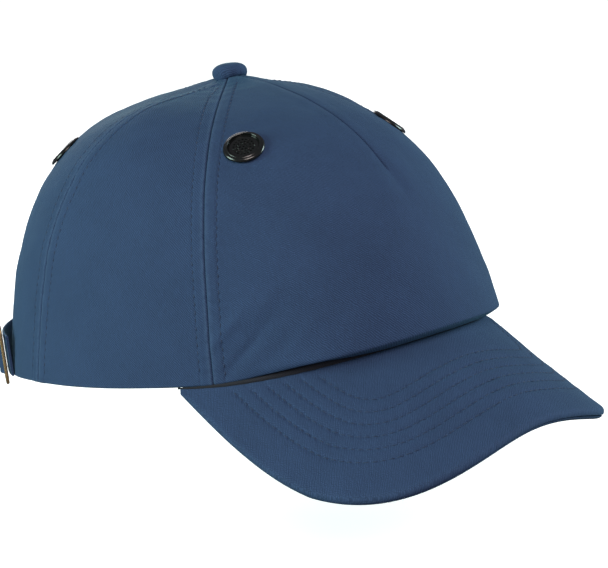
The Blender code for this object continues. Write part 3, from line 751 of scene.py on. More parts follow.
def make_panel(name, first, last, middle):
    kind = name.split("_")[0]
    is_front = kind == "front"
    line, height, gap, width = panel_grid(first, last, middle, is_front)
    angle, v, base, normal = surface(line, height)
    stand = flare(angle, height) * is_front
    if is_front:
        base = base + normal * stand[..., None]
        normal = unit(np.cross(np.gradient(base, axis=1), np.gradient(base, axis=0)))
    radius = HEM_SHARE * hem_radius(angle[0]) + 0.12 * stand[0]
    base, normal = with_roll(base, normal, radius, hem_depth(angle[0]) + 0.55 * stand[0])
    rolled = len(ROLL_TURNS)
    source = np.maximum(np.arange(len(base)) - rolled, 0)
    height, gap, width, angle, v = (grid[source] for grid in (height, gap, width, angle, v))
    height[:rolled] -= radius * ROLL_TURNS
    # Relief: the cloth's slack, the vents, the sewn edges and the dart, and the lift under the button.
    apart = np.hypot(base[..., 0], base[..., 1] - TOP_Y)
    move = soft_relief(base, v) + vent_relief(base) + TOP_LIFT * np.exp(-((apart / LIFT_REACH) ** 1.6))
    dips, seams = 0, []
    for column, away, seed in ((STITCH_COLUMN, gap, 21), (-STITCH_COLUMN - 1, width - gap, 22)):
        up = running_length(base[:, column])
        holes = stitch_ends(up[-1] - 9.5 * MM)
        shape, dip = edge_relief(away, up[:, None], holes, seed, base)
        move, dips = move + shape, dips + dip
        seams.append((column, up, holes))
    if is_front:
        move = move + dart_relief(np.abs(gap - width / 2), v) + foot_folds(angle, height) * (height > 0)
    wear = 0.35 * bell(np.minimum(gap, width - gap) - 0.9 * MM, 0.7 * MM)
    wear = wear + 0.3 * bell(height - 0.2 * MM, 1.0 * MM) * (np.abs(angle) > PEAK_ANGLE)
    outer = base + normal * (move + dips)[..., None]
    inner = base + normal * (move - CLOTH)[..., None]
    cloth = cloth_place(gap - width / 2, seams[0][1][:, None], wear)
    obj = solid(name, outer, inner, TWILL, cloth, uncut(base, kind == "back"))
    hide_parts(name)
    for column, up, holes in seams:
        shown = holes[holes > 3.5 * MM]
        if kind == "back" and (column < 0) == (name == "back_panel_left"):
            clear = (outer[:, column, 2] - ARCH_CENTRE) / ARCH_HEIGHT > 1.2
            shown = holes[holes > up[np.argmax(clear)] + 1.5 * MM]
        SEAM_ROWS[kind].append((outer[:, column], normal[:, column], up, shown))
    return obj


def make_shade_cord():
    """A near-black cord between the front panel's roll and the peak: a dark piece put where the shadow under
    the roll falls, painted shade.
    """
    angle = np.linspace(-PEAK_ANGLE - 0.5, PEAK_ANGLE + 0.5, 420)
    base, normal = crown(angle, 0 * angle), crown_normal(angle, 0 * angle + 0.01)
    rise = unit(crown(angle, 0 * angle + 0.02) - base)
    uneven = 0.05 * MM * np.sin(running_length(base) / (1.9 * MM) * 2 * np.pi)
    radius = (0.2 * MM + 0.46 * (hem_radius(angle) - HEM_SIDE) + uneven)[:, None]
    centre = base - normal * (radius * 0.8 - 0.1 * MM) + rise * (1.12 * radius + 0.06 * MM)
    turn = 2 * np.pi * np.arange(14)[:, None] / 14
    ring = 0.85 * normal[:, None] * np.cos(turn) + 1.45 * rise[:, None] * np.sin(turn)
    rings = centre[:, None] + ring * radius[:, None]
    cloth = cloth_place(turn[:, 0] * 1.2 * MM, running_length(centre)[:, None])
    obj = swept("brim_shade_cord", rings, SHADE_CORD_CLOTH, cloth)


def make_crown():
    for name, (first, last, middle) in PANELS.items():
        obj = make_panel(name, first, last, middle)
    for kind, rows in SEAM_ROWS.items():
        make_stitches(f"topstitch_{kind}", rows)


make_crown()
make_shade_cord()


# ---- tapes over the seams, inside, and the washer under the button


TAPE_HALF, TAPE_TOP = 7 * MM, 0.915
# Each tape's seam line, and where on it the tape starts, as a share of its length.
TAPES = {
    "front_left": (1, 0.08),
    "front_right": (-1, 0.08),
    "rear_left": (2, 0.08),
    "rear_right": (-2, 0.08),
    "back": (3, 0.35),
}


def make_tape(side, line, start):
    """A strip of binding over a seam, as wide as it should be at each height, tapered at the top."""
    total = float(line_length(line))
    share, height = np.meshgrid(np.linspace(-1, 1, 13), np.linspace(total * start, total * TAPE_TOP, 90))
    nearby = on_crown(line + np.array((-0.05, 0.05))[:, None], height[:, 0])
    reach = np.linalg.norm(nearby[1] - nearby[0], axis=-1)[:, None]
    taper = np.minimum(1, (1.02 - height / total) * 3)
    _, _, base, normal = surface(line + share * TAPE_HALF * taper * 0.1 / reach, height)
    edge = np.minimum(np.arange(13), np.arange(13)[::-1])
    soften = 0.1 * MM * np.exp(-edge / 1.5)[:, None]
    outer = base - normal * (TAPE_DEPTH + soften)
    inner = base - normal * (TAPE_DEPTH + TAPE - soften)
    name = f"seam_tape_{side}"
    obj = solid(name, outer, inner, BINDING, cloth_place(running_length(base[0]), height))
    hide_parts(name)


def make_washer():
    """The round patch under the button, inside the crown."""
    turns = np.linspace(-3, 3, 97)[:-1]
    line, share = np.meshgrid(turns, np.linspace(0.948, 0.986, 6))
    _, _, base, normal = surface(line, share * line_length(line))
    outer, inner = base - normal * TAPE_DEPTH, base - normal * (TAPE_DEPTH + TAPE)
    cloth = cloth_place(base[..., 0], base[..., 1])
    obj = solid("button_washer_cloth", outer, inner, BINDING, cloth, ring=True)
    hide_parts("button_washer")


for tape, (seam_line, tape_start) in TAPES.items():
    make_tape(tape, seam_line, tape_start)
make_washer()


# ---- turned pieces: the button and the vents


def rounded(profile, rounds=3, share=0.22):
    """A profile with its corners cut round, its ends kept."""
    points = np.array(profile, float)
    for _ in range(rounds):
        first, second = points[:-1], points[1:]
        low, high = first + (second - first) * share, second - (second - first) * share
        points = np.concatenate((points[:1], np.stack((low, high), 1).reshape(-1, 2)[1:-1], points[-1:]))
        share = 0.25
    return points


def turned(name, profile, steps, place, material, shape):
    """A closed piece turned from (radius, height) points in millimetres; shape moves the points."""
    profile = np.array(profile, float)
    turn = 2 * np.pi * np.arange(steps) / steps
    radius, height = profile[:, :1], profile[:, 1:]
    local = shape(np.stack((radius * np.cos(turn), radius * np.sin(turn), height + 0 * turn), -1), turn)
    number = np.arange(len(profile) * steps).reshape(-1, steps)
    # Each face's corners run along the profile first.
    quads = between(number).reshape(-1, 4)[:, [0, 3, 2, 1]]
    spread = running_length(profile)[:, None] * MM
    cloth = cloth_place(spread * np.cos(turn), spread * np.sin(turn)).reshape(-1, 3)
    points = placed(local.reshape(-1, 3) * MM, place)
    obj = make_piece(name, points, quads, NO_TRIANGLES, material, cloth, "cap", 40)
    bm = bmesh.new()
    bm.from_mesh(obj.data)
    bmesh.ops.remove_doubles(bm, verts=bm.verts, dist=1e-6)
    bm.to_mesh(obj.data)
    bm.free()
    return obj


# The turned pieces' profiles, as (radius, height) in millimetres.
BUTTON = (
    (0, 6.85), (1.6, 6.82), (3.2, 6.65), (4.7, 6.25), (5.9, 5.6), (6.7, 4.75), (7.1, 3.85), (7.05, 2.95),
    (6.6, 2.1), (5.6, 1.5), (3.6, 1.2), (2.0, 1.2), (1.9, 2.6), (1.9, 3.9), (0, 3.9),
)


def gathered(local, turn):
    """Gathers the button's cloth in pleats under its edge, and sinks its foot to follow the crown."""
    x, y, z = np.moveaxis(local, -1, 0)
    away = np.hypot(x, y)
    low = smooth((4.9 - z) / 3.0) * smooth((away - 2.6) / 3.0)
    pleat = 0.13 * np.sin(13 * turn + 0.6 * np.sin(3 * turn)) + 0.07 * np.sin(29 * turn + 1.0)
    stretch = 1 + low * pleat / 7
    uneven = 0.12 * np.sin(2 * turn + 0.7) * smooth(z / 6) * smooth(away / 6)
    side = np.abs(x / np.maximum(away, 1e-6)) ** SIDE_SPREAD
    ends = np.where(y < 0, RISE_FRONT[3], RISE_BACK[3])
    sink = (RISE_SIDE[3] * side + ends * (1 - side)) * away * (1 - smooth((z - 1.1) / 3.6))
    return np.stack((x * stretch, y * stretch, z + uneven - sink * (away > 2.1)), -1)


def make_button():
    place = Matrix.Translation((0, TOP_Y, TOP_Z))
    obj = turned("top_button_cloth", rounded(BUTTON), 144, place, TWILL, gathered)
    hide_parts("top_button")


make_button()

VENT_RIM = (
    (0, 0.62), (2.6, 0.62), (5.5, 0.62), (5.62, 0.5), (5.78, 0.5), (5.88, 1.1), (6.0, 1.42), (6.2, 1.55),
    (6.42, 1.45), (6.6, 1.28), (7.0, 1.22), (7.4, 1.0), (7.7, 0.62), (7.8, 0.25), (7.7, 0.05), (7.3, 0.0),
    (5.35, 0.0), (5.25, -0.3), (5.2, -2.0), (5.2, -7.2), (4.95, -7.6), (4.35, -7.6), (4.2, -7.3),
    (4.2, -1.2), (4.1, -1.0), (0, -1.0),
)
COLLAR = ((5.5, -6.45), (7.1, -6.4), (7.25, -6.6), (7.3, -7.4), (7.1, -7.75), (5.7, -7.8), (5.5, -7.6))
# The vent's disc: its radius, its height, its number of rows, and its rings of holes as (radius, count).
DISC_RADIUS, DISC_HEIGHT, DISC_ROWS = 4.4, 0.62, 38
HOLE, HOLE_EDGE, HOLE_DEPTH = 0.24, 0.14, 0.55
HOLE_RINGS = ((0, 1), (1.35, 6), (2.55, 12), (3.75, 18))


def disc_profile():
    """The vent's profile, with rows close together across its disc for the small holes."""
    profile = rounded(VENT_RIM, 2)
    edge = int(np.argmax(profile[:, 0] > DISC_RADIUS))
    disc = np.stack((np.linspace(0, DISC_RADIUS, DISC_ROWS), np.full(DISC_ROWS, DISC_HEIGHT)), -1)
    return np.concatenate((disc, profile[edge:]))


def pierced(local, turn):
    """Presses the disc's small blind holes into it."""
    x, y, z = np.moveaxis(local, -1, 0)
    depth = np.zeros(x.shape)
    for radius, count in HOLE_RINGS:
        for k in range(count):
            a = 2 * np.pi * (k + 0.5 * (radius > 2)) / count
            away = np.hypot(x - radius * np.cos(a), y - radius * np.sin(a))
            depth = np.maximum(depth, HOLE_DEPTH * (1 - smooth((away - HOLE) / HOLE_EDGE)))
    ring = 0.12 * bell(np.hypot(x, y) - 4.85, 0.16)
    return np.stack((x, y, np.where((z > 0.4) & (np.hypot(x, y) < 5.4), z - depth + ring, z)), -1)


def toothed(local, turn):
    """Gives the collar's outside its small gripping teeth."""
    away = np.hypot(local[..., 0], local[..., 1])
    grown = 1 + np.where(away > 7.0, 0.35 * smooth(np.sin(14 * turn) * 2 + 0.5) / 7.6, 0)
    return local * np.stack((grown, grown, 1 + 0 * grown), -1)


def make_vents():
    ring = rounded(COLLAR + COLLAR[:1], 2)
    ring = np.concatenate((ring, ring[:1]))
    for name, place in VENT_PLACES:
        cap = turned(f"vent_{name}", disc_profile(), 132, place, VENT_PLASTIC, pierced)
        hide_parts(f"vent_cap_{name}")
        collar = turned(f"vent_grip_{name}", ring, 112, place, VENT_PLASTIC, toothed)
        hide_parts(f"vent_collar_{name}")


make_vents()


# ---- the peak


def peak_xy(along, out):
    """The peak from above: along from -90 to 90 degrees, out from 0 at the crown to 1 at the edge."""
    inner_x, inner_y = rim_xy(along / 90 * PEAK_ANGLE)
    corner_y = rim_xy(PEAK_ANGLE)[1]
    u, power = np.radians(along), 2 / PEAK_SQUARE
    outer_x = np.sign(u) * PEAK_HALF_WIDTH * np.abs(np.sin(u)) ** power
    outer_y = corner_y - (HALF_LENGTH + PEAK_LENGTH + corner_y) * np.cos(u) ** power
    return inner_x + (outer_x - inner_x) * out, inner_y + (outer_y - inner_y) * out


def peak_normal(x, y):
    step = 0.5 * MM
    slope_x = (peak_z(x + step, y) - peak_z(x - step, y)) / (2 * step)
    slope_y = (peak_z(x, y + step) - peak_z(x, y - step)) / (2 * step)
    return unit(np.stack((-slope_x, -slope_y, np.ones(x.shape)), -1))


def on_peak(x, y):
    """Points of the peak's upper surface."""
    return np.stack((x, y, peak_z(x, y)), -1)


# The stitched rows run parallel to the peak's edge. They are found along rays from a point behind it.
RAY_Y = -78 * MM
BEARINGS = np.radians(np.linspace(-104, 104, 417))
ROW_OFFSETS = np.concatenate(([0.0, 7 * MM], PEAK_ROW + PEAK_ROW_STEP * np.arange(PEAK_ROWS + 2)))


def peak_row_radii():
    """How far along each ray each row lies, smoothed more the further the row is from the edge."""
    edge = on_peak(*peak_xy(np.linspace(-90, 90, 601), 1.0))
    reach = np.linspace(4, 110, 213) * MM
    points = on_peak(np.sin(BEARINGS)[:, None] * reach, RAY_Y - np.cos(BEARINGS)[:, None] * reach)
    from_edge = np.array([np.linalg.norm(row[:, None] - edge[None], axis=-1).min(axis=1) for row in points])
    nearest = from_edge.argmin(axis=1)
    radii = []
    for distances, last in zip(from_edge, nearest):
        radii.append(np.interp(ROW_OFFSETS, distances[last::-1], reach[last::-1]))
    smoothed = []
    for offset, row in zip(ROW_OFFSETS, np.array(radii).T):
        weight = bell(np.arange(-40, 41), max(offset / (3.2 * MM), 0.6))
        smoothed.append(np.convolve(np.pad(row, 40, mode="edge"), weight / weight.sum(), mode="valid"))
    return np.array(smoothed)


ROW_RADII = peak_row_radii()


def row_offset(x, y):
    """How far in from the edge a point of the peak lies, counted by the stitched rows."""
    bearing, reach = np.arctan2(x, RAY_Y - y), np.hypot(x, y - RAY_Y)
    radii = np.stack([np.interp(bearing, BEARINGS, row) for row in ROW_RADII])
    offset = np.zeros(x.shape)
    for k in range(len(ROW_OFFSETS) - 1):
        share = (radii[k] - reach) / np.maximum(radii[k] - radii[k + 1], 1e-6)
        here = ROW_OFFSETS[k] + (ROW_OFFSETS[k + 1] - ROW_OFFSETS[k]) * np.clip(share, 0, 1)
        offset = np.where(share > 0, here, offset)
    return offset, bearing


def rim_clearance(x, y):
    """How far in front of the crown's rim a point lies."""
    rim_x, rim_y = rim_xy(np.linspace(-89, 89, 357))
    return np.interp(x, rim_x, rim_y) - y


def peak_rows():
    """Each stitched row's points, bearings, running length and needle holes."""
    rows = []
    for radius in ROW_RADII[2 : 2 + PEAK_ROWS]:
        bearing = np.linspace(BEARINGS[0], BEARINGS[-1], 1601)
        reach = np.interp(bearing, BEARINGS, radius)
        x, y = np.sin(bearing) * reach, RAY_Y - np.cos(bearing) * reach
        clear = rim_clearance(x, y) > 2.2 * MM
        x, y, bearing = x[clear], y[clear], bearing[clear]
        run = running_length(on_peak(x, y))
        rows.append((x, y, bearing, run, stitch_ends(run[-1])))
    return rows


PEAK_STITCH_ROWS = peak_rows()
CHANNEL = 0.1 * MM


def peak_slack(x, y):
    """The covers' slack, and how free of the crown's hem they are, from 0 to 1."""
    points = on_peak(x, y)
    free = smooth((rim_clearance(x, y) - 1.0 * MM) / (3 * MM))
    return free * (0.22 * MM * ripples(points, 40 * MM, 31) + 0.03 * MM * ripples(points, 8 * MM, 32)), free


def peak_relief(x, y):
    """The quilting between the stitched rows, their channels and the needle holes."""
    offset, bearing = row_offset(x, y)
    slack, free = peak_slack(x, y)
    first, last = ROW_OFFSETS[2], ROW_OFFSETS[2 + PEAK_ROWS - 1]
    between_rows = (offset > first) & (offset < last)
    swell = np.where(between_rows, np.abs(np.sin(np.pi * (offset - first) / PEAK_ROW_STEP)) ** 0.8, 0)
    swell = swell + smooth((first - offset) / (3.5 * MM)) + smooth((offset - last) / (3.5 * MM))
    relief = 0.13 * MM * swell + slack * smooth(offset / (8 * MM))
    for row, (_, _, bearings, run, holes) in zip(ROW_OFFSETS[2:], PEAK_STITCH_ROWS):
        along = np.interp(bearing, bearings, run)
        inside = (bearing > bearings[0]) & (bearing < bearings[-1])
        pit = 0.5 * MM * bell(offset - row, 0.5 * MM) * hole_nearness(along, holes, 0.46 * MM)
        relief = relief - inside * (CHANNEL * bell(offset - row, 0.6 * MM) + pit) * free
    return relief


EDGE_RADIUS = 2.2 * MM
PEAK_THICKNESS = 2 * COVER + BOARD + 2 * PEAK_GAP


def peak_sides():
    """Points along the peak's inner and outer edge, with the outer edge's direction outwards."""
    share = np.linspace(-1, 1, 330)
    crowded = np.sign(share) * (1 - (1 - np.abs(share)) ** 1.9)
    along = 89.98 * (0.6 * crowded + 0.4 * share)
    edge = on_peak(*peak_xy(along, 1.0))
    outward = unit(np.cross(peak_normal(edge[:, 0], edge[:, 1]), np.gradient(edge, axis=0)))
    flip = (outward * (edge - np.array((0, RAY_Y, 0)))).sum(-1, keepdims=True)
    return np.stack(peak_xy(along, 0.0), -1), edge, np.where(flip < 0, -outward, outward)


def make_peak_cover(name, under):
    """One of the peak's covers: its face, and its half of the rolled edge."""
    inner_edge, edge, outward = peak_sides()
    reach = np.hypot(*(edge[:, :2] - inner_edge).T)
    roll = np.minimum(EDGE_RADIUS, 0.45 * reach)[:, None]
    flat = edge[:, :2] - outward[:, :2] * roll
    x, y = np.moveaxis(inner_edge + (flat - inner_edge) * np.linspace(0, 1, 92)[:, None, None], -1, 0)
    normal = peak_normal(x, y)
    sign, depth = (-1, PEAK_THICKNESS) if under else (1, 0)
    face = on_peak(x, y) - normal * depth + normal * (sign * peak_relief(x, y))[..., None]
    facing = normal * sign
    angles = np.radians(np.linspace(0, 84, 11)[1:])[:, None, None]
    half = PEAK_THICKNESS / 2 - 0.05 * MM
    up = facing[-1]
    rolled = face[-1] + outward * roll * np.sin(angles) - up * half * (1 - np.cos(angles))
    turned_up = unit(up * np.cos(angles) + outward * np.sin(angles))
    # Under the crown's rolled hem the top cover runs on a little way, flat.
    inward = unit(np.stack((-inner_edge[:, 0], TOP_Y - inner_edge[:, 1], 0 * reach), -1))
    tail = np.array((4.6, 3.6, 2.6, 1.6, 0.7))[:, None, None] * MM
    tail = face[:1] + inward * 0.2 * MM if under else face[0] + inward * tail - facing[0] * tail * 0.06
    outer = np.concatenate((tail, face, rolled))
    ways = np.concatenate((np.repeat(facing[:1], len(tail), 0), facing, turned_up))
    worn = len(rolled) + 2
    wear = np.zeros((len(outer), 1))
    wear[-worn:, 0] = 0.15 * bell(np.arange(worn) - 6, 4.0)
    cloth = cloth_place(outer[..., 0] * 1.12, -outer[..., 1] * 1.2, wear)
    obj = solid(name, outer, outer - ways * COVER, TWILL, cloth)
    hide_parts(name)
    rows = []
    for row_x, row_y, _, run, holes in PEAK_STITCH_ROWS:
        way = peak_normal(row_x, row_y)
        slack, free = peak_slack(row_x, row_y)
        lift = (sign * (slack - CHANNEL * free) - depth)[:, None]
        rows.append((on_peak(row_x, row_y) + way * lift, way * sign, run, holes))
    make_stitches(f"{name}_stitches", rows)


make_peak_cover("peak_top_cover", under=False)
make_peak_cover("peak_under_cover", under=True)


# ---- the strap, its hump and the buckle


def strap_frame(angle):
    """A placing on the strap's outer face: z outwards, x along the strap to the right, y up."""
    u = math.radians(angle)
    outwards = Vector((-math.sin(u), math.cos(u), 0))
    along = Vector((-math.cos(u), -math.sin(u), 0))
    turn = Matrix((along, Vector((0, 0, 1)), outwards)).transposed().to_4x4()
    origin = Vector((0, STRAP_CENTRE_Y, STRAP_MIDDLE)) + outwards * (STRAP_RADIUS + STRAP)
    return Matrix.Translation(origin) @ turn


STRAP_HALF = (STRAP_HIGH - STRAP_LOW) / 2
STRAP_STITCH = STRAP_HALF - 1.9 * MM
STRAP_MIDDLE = (STRAP_LOW + STRAP_HIGH) / 2


def webbing(name, path, facing, across, body):
    """A doubled, edge-stitched strip of twill along a path, with rounded edges; also its stitch rows."""
    share = np.linspace(-1, 1, 33)
    offset = (0.6 * np.sin(np.pi / 2 * share) + 0.4 * share)[:, None] * STRAP_HALF
    run = running_length(path)
    holes = stitch_ends(run[-1])
    edge = STRAP_HALF - np.abs(offset)
    beside = np.abs(offset) - STRAP_STITCH
    thick = STRAP / 2 - 0.4 * MM * edge_drop(edge, 0.8 * MM)
    pits = 0.1 * MM * bell(beside, 0.4 * MM) * hole_nearness(run, holes)[:, None, None]
    centre = path[:, None] + across * offset
    top = centre + facing[:, None] * (thick - 0.12 * MM * bell(beside, 0.5 * MM) - pits)
    low = centre - facing[:, None] * thick
    cloth = cloth_place(offset[:, 0], run[:, None], 0.6 * bell(edge[:, 0], 0.7 * MM))
    obj = solid(name, top, low, TWILL, cloth, body=body)
    shown = holes[(holes > 1.5 * MM) & (holes < run[-1] - 1.5 * MM)]
    rows = []
    for side in (-STRAP_STITCH, STRAP_STITCH):
        rows.append((path + across * side + facing * (STRAP / 2 - 0.12 * MM), facing, run, shown))
    return obj, rows, run


def make_strap():
    u = np.radians(np.linspace(STRAP_FROM, STRAP_TO, 330))
    up = np.array((0, 0, 1.0))
    facing = np.stack((-np.sin(u), np.cos(u), 0 * u), -1)
    path = facing * (STRAP_RADIUS + STRAP / 2) + np.array((0, STRAP_CENTRE_Y, STRAP_MIDDLE))
    obj, rows, run = webbing("back_strap_cloth", path, facing, up, "cap")
    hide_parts("back_strap")
    # The end away from the buckle is sewn down with a box and a cross.
    start, box, half = 1.8 * MM, 11.5 * MM, STRAP_STITCH - 0.3 * MM
    corners = [(start, -half), (start, half), (start + box, half), (start + box, -half)]
    for a, b in ((0, 1), (2, 3), (0, 2), (1, 3)):
        along, side = np.linspace(corners[a], corners[b], 24).T
        out = unit(row_at(along, run, facing))
        place = row_at(along, run, path) + up * side[:, None] + out * (STRAP / 2 - 0.02 * MM)
        length = running_length(place)
        rows.append((place, out, length, stitch_ends(length[-1], 2.4 * MM)))
    make_stitches("back_strap_stitches", rows)


def make_fold():
    """The strap's hump over the buckle's bar, which rides on the buckle."""
    half, rise = 6.6 * MM, 2.0 * MM
    place = strap_frame(BUCKLE_ANGLE)
    turn = np.array(place.to_3x3()).T
    x = np.linspace(-half, half, 60)
    path = np.stack((x, 0 * x, GAP + STRAP / 2 + rise * np.cos(np.pi / 2 * x / half) ** 2), -1)
    along = unit(np.gradient(path, axis=0))
    facing = np.stack((-along[:, 2], 0 * x, along[:, 0]), -1) @ turn
    obj, rows, _ = webbing("strap_fold_cloth", placed(path, place), facing, turn[1], "slider")
    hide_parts("strap_fold")
    make_stitches("strap_fold_stitches", rows, body="slider")


def buckle_section(half_width, half_height):
    """A bar's cross section: a rectangle with well rounded edges."""
    t = 2 * np.pi * np.arange(20) / 20
    size, way = np.array((half_width, half_height)), np.stack((np.cos(t), np.sin(t)), -1)
    return size * np.sign(way) * np.abs(way) ** 0.62


def make_buckle():
    place = strap_frame(BUCKLE_ANGLE) @ Matrix.Translation((0, 0, GAP + BUCKLE / 2))
    half_x, half_y = (BUCKLE_WIDTH - BUCKLE_BAR) / 2, (BUCKLE_HEIGHT - BUCKLE_BAR) / 2
    corner = 2.1 * MM
    path, ways = [], []
    for k, (side_x, side_y) in enumerate(((1, 1), (-1, 1), (-1, -1), (1, -1))):
        for u in np.radians(90 * k + np.linspace(0, 90, 13)):
            way = np.array((math.cos(u), math.sin(u), 0))
            path.append(np.array((side_x * (half_x - corner), side_y * (half_y - corner), 0)) + way * corner)
            ways.append(way)
    fine, fine_ways = [], []
    for here, there, way, next_way in zip(path, path[1:] + path[:1], ways, ways[1:] + ways[:1]):
        parts = max(int(np.linalg.norm(there - here) / (0.8 * MM)), 1)
        for share in np.arange(parts) / parts:
            fine.append(here + (there - here) * share)
            fine_ways.append(unit(way + (next_way - way) * share))
    fine, fine_ways = np.array(fine), np.array(fine_ways)
    section = buckle_section(BUCKLE_BAR / 2, BUCKLE / 2)
    rings = fine[:, None] + fine_ways[:, None] * section[:, :1] + np.array((0, 0, 1)) * section[:, 1:]
    ring = swept("slide_buckle", placed(rings, place), BRASS, closed=True, body="slider", crease=60)
    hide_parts("buckle_frame")
    y = np.linspace(-half_y, half_y, 40)[:, None]
    section = buckle_section(BUCKLE_BAR / 2 * 0.92, BUCKLE / 2 * 0.9)
    swell = 1 + 0.1 * np.abs(y / half_y) ** 6
    rings = np.stack(np.broadcast_arrays(section[:, 0] * swell, y, section[:, 1] * swell), -1)
    bar = swept("slide_buckle_bar", placed(rings, place), BRASS, body="slider", crease=60)


make_strap()
make_fold()
make_buckle()


# ---- the rear opening's binding


def arch_v(angle):
    """The height v at which the rear opening's edge crosses each angle."""
    low, high = np.zeros(angle.shape), np.full(angle.shape, 0.6)
    for _ in range(40):
        v = (low + high) / 2
        beyond = beyond_arch(crown(angle, v))
        low, high = np.where(beyond, low, v), np.where(beyond, v, high)
    return high


# The binding's section, round from its upper edge, in millimetres: how far away from the opening, and how
# far above the cloth's surface.
BINDING_SECTION = (
    (6.8, 0.16), (6.9, 0.5), (6.7, 0.78), (5.6, 0.84), (5.2, 0.68), (4.8, 0.84), (3.0, 0.9), (1.0, 0.92),
    (0.0, 0.85), (-0.7, 0.5), (-1.0, -0.2), (-0.95, -0.9), (-0.5, -1.4), (0.4, -1.66), (3.0, -1.66),
    (6.6, -1.66), (6.9, -1.5), (6.8, -1.2), (6.5, -1.02), (3.0, -1.02), (0.9, -1.0), (0.2, -0.6),
    (0.1, -0.2), (0.3, 0.1), (1.0, 0.2), (3.0, 0.2), (5.2, 0.12),
)


def make_binding():
    """A strip folded over the rear opening's edge, sewn through with one row."""
    count = 300
    angle = 180 - 25.4 * np.sin(np.pi * (np.linspace(0, 1, count) - 0.5))
    run = running_length(crown(angle, arch_v(angle)))
    angle = np.interp(np.linspace(0, run[-1], count), run, angle)
    v = arch_v(angle)
    edge, normal = crown(angle, v), crown_normal(angle, v)
    run = running_length(edge)
    away = unit(np.cross(normal, unit(np.gradient(edge, axis=0))))
    hollow = np.array((0, HALF_LENGTH, 0.0))
    away = np.where(((hollow - edge) * away).sum(-1, keepdims=True) > 0, -away, away)
    section = np.array(BINDING_SECTION) * MM
    out, high = section[:, :1], section[:, 1]
    wave = 0.06 * MM * np.sin(run / (4.1 * MM) * 2 * np.pi)[:, None] * (high > 0.3 * MM)
    # Away from the edge the crown falls off from its tangent plane, so the section follows it.
    sag = np.interp(np.abs(section[:, 0]), (0, 7 * MM), (0, 0.22 * MM))
    rings = edge[:, None] + away[:, None] * out + normal[:, None] * (high + wave - sag)[..., None]
    wear = 0.55 * bell(section[:, 0] + 0.6 * MM, 0.9 * MM)
    obj = swept("opening_binding", rings, BINDING, cloth_place(running_length(section), run[:, None], wear))
    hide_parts("arch_binding")
    row = edge + away * 5.2 * MM + normal * 0.5 * MM
    holes = stitch_ends(run[-1])[2:-2]
    make_stitches("opening_binding_stitches", [(row, normal, running_length(row), holes)])


make_binding()


# ---- the sweatband


# The sweatband's rows, close together at its edges and seams, which of them are sewn, and how deep it
# hangs at some heights.
BAND_ROWS = (1.0, 1.6, 2.4, 3.2, 4.0, 4.8, 6.0, 8.0, 10.0, 12.0, 14.0, 16.0, 19.0, 22.0, 25.0, 27.2, 28.0)
BAND_ROWS, BAND_SEAMS = np.array(BAND_ROWS + (28.8, 29.6, 30.2)) * MM, (4, 15)
BAND_HEIGHTS, BAND_DEPTHS = np.array(((1, 6, 11, 15, 30), (1.75, 3.3, 4.8, 5.6, 5.6))) * MM


def make_sweatband():
    """The towelling band inside the rim, open at the back."""
    line, height = np.meshgrid(np.linspace(-2.62, 2.62, 520), BAND_ROWS)
    angle, _, base, normal = surface(line, height)
    # It hangs clear of the crown's rolled hem in front.
    hem = 1.1 * (hem_radius(angle) - HEM_SIDE) * (1 - smooth((height - 2 * MM) / (9 * MM)))
    depth = np.interp(height, BAND_HEIGHTS, BAND_DEPTHS) + hem
    run = running_length(base[9])
    slack = 0.18 * MM * ripples(base, 26 * MM, 41) + 0.08 * MM * np.sin(run / (5.2 * MM) * 2 * np.pi)
    slack = slack * smooth(height / (8 * MM)) * (1 - smooth((height - 24 * MM) / (5 * MM)))
    sewn = 0.3 * MM * (bell(height - 4.0 * MM, 0.9 * MM) + bell(height - 27.2 * MM, 0.9 * MM))
    edge = np.minimum(height - 0.6 * MM, 30.6 * MM - height)
    thick = 1.3 * MM * (0.72 + 0.28 * smooth(edge / (1.4 * MM)))
    outer = base - normal * (depth + slack)[..., None]
    inner = outer - normal * (thick - sewn)[..., None]
    cloth = cloth_place(run, height, 0.25 * bell(height - 30 * MM, MM))
    obj = solid("sweatband_cloth", outer, inner, TOWELLING, cloth)
    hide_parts("sweatband")
    rows = []
    for level in BAND_SEAMS:
        facing = -normal[level]
        rows.append((inner[level] + facing * 0.02 * MM, facing, run, stitch_ends(run[-1], 3.2 * MM)[1:-1]))
    make_stitches("sweatband_stitches", rows)


make_sweatband()


# ---- the shell keeps its CAD shape, and the foam pads swell between their edges


def make_pad(name, first, last, low, high, columns, rows, ring=False):
    """A foam pad with rounded edges, pressed channels and a slight crown."""
    lines = np.linspace(first, last, columns + 1)[:-1] if ring else np.linspace(first, last, columns)
    line, share = np.meshgrid(lines, np.linspace(low, high, rows))
    total = line_length(line)
    _, _, base, normal = surface(line, share * total)
    gaps = [(share - low) * total, (high - share) * total]
    if not ring:
        run = np.array([running_length(row) for row in base])
        gaps += [run, run[:, -1:] - run]
    round_off = sum(edge_drop(gap, 2.2 * MM) for gap in gaps)
    edge = np.minimum.reduce(gaps)
    swell = 0.35 * MM * smooth((edge - 6 * MM) / (8 * MM)) + 0.1 * MM * ripples(base, 14 * MM, 51)
    swell = swell - 0.9 * MM * bell(edge - 5.2 * MM, 0.8 * MM)
    thickness = np.maximum(FOAM * (1 - 0.42 * np.minimum(round_off, 1.6)) + swell, 0.8 * MM)
    start = FOAM_DEPTH + FOAM * 0.1 * np.minimum(round_off, 1)
    outer, inner = base - normal * start[..., None], base - normal * (start + thickness)[..., None]
    obj = solid(name + "_eva", outer, inner, EVA, cloth_place(base[..., 0], base[..., 2]), ring=ring)
    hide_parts(name)


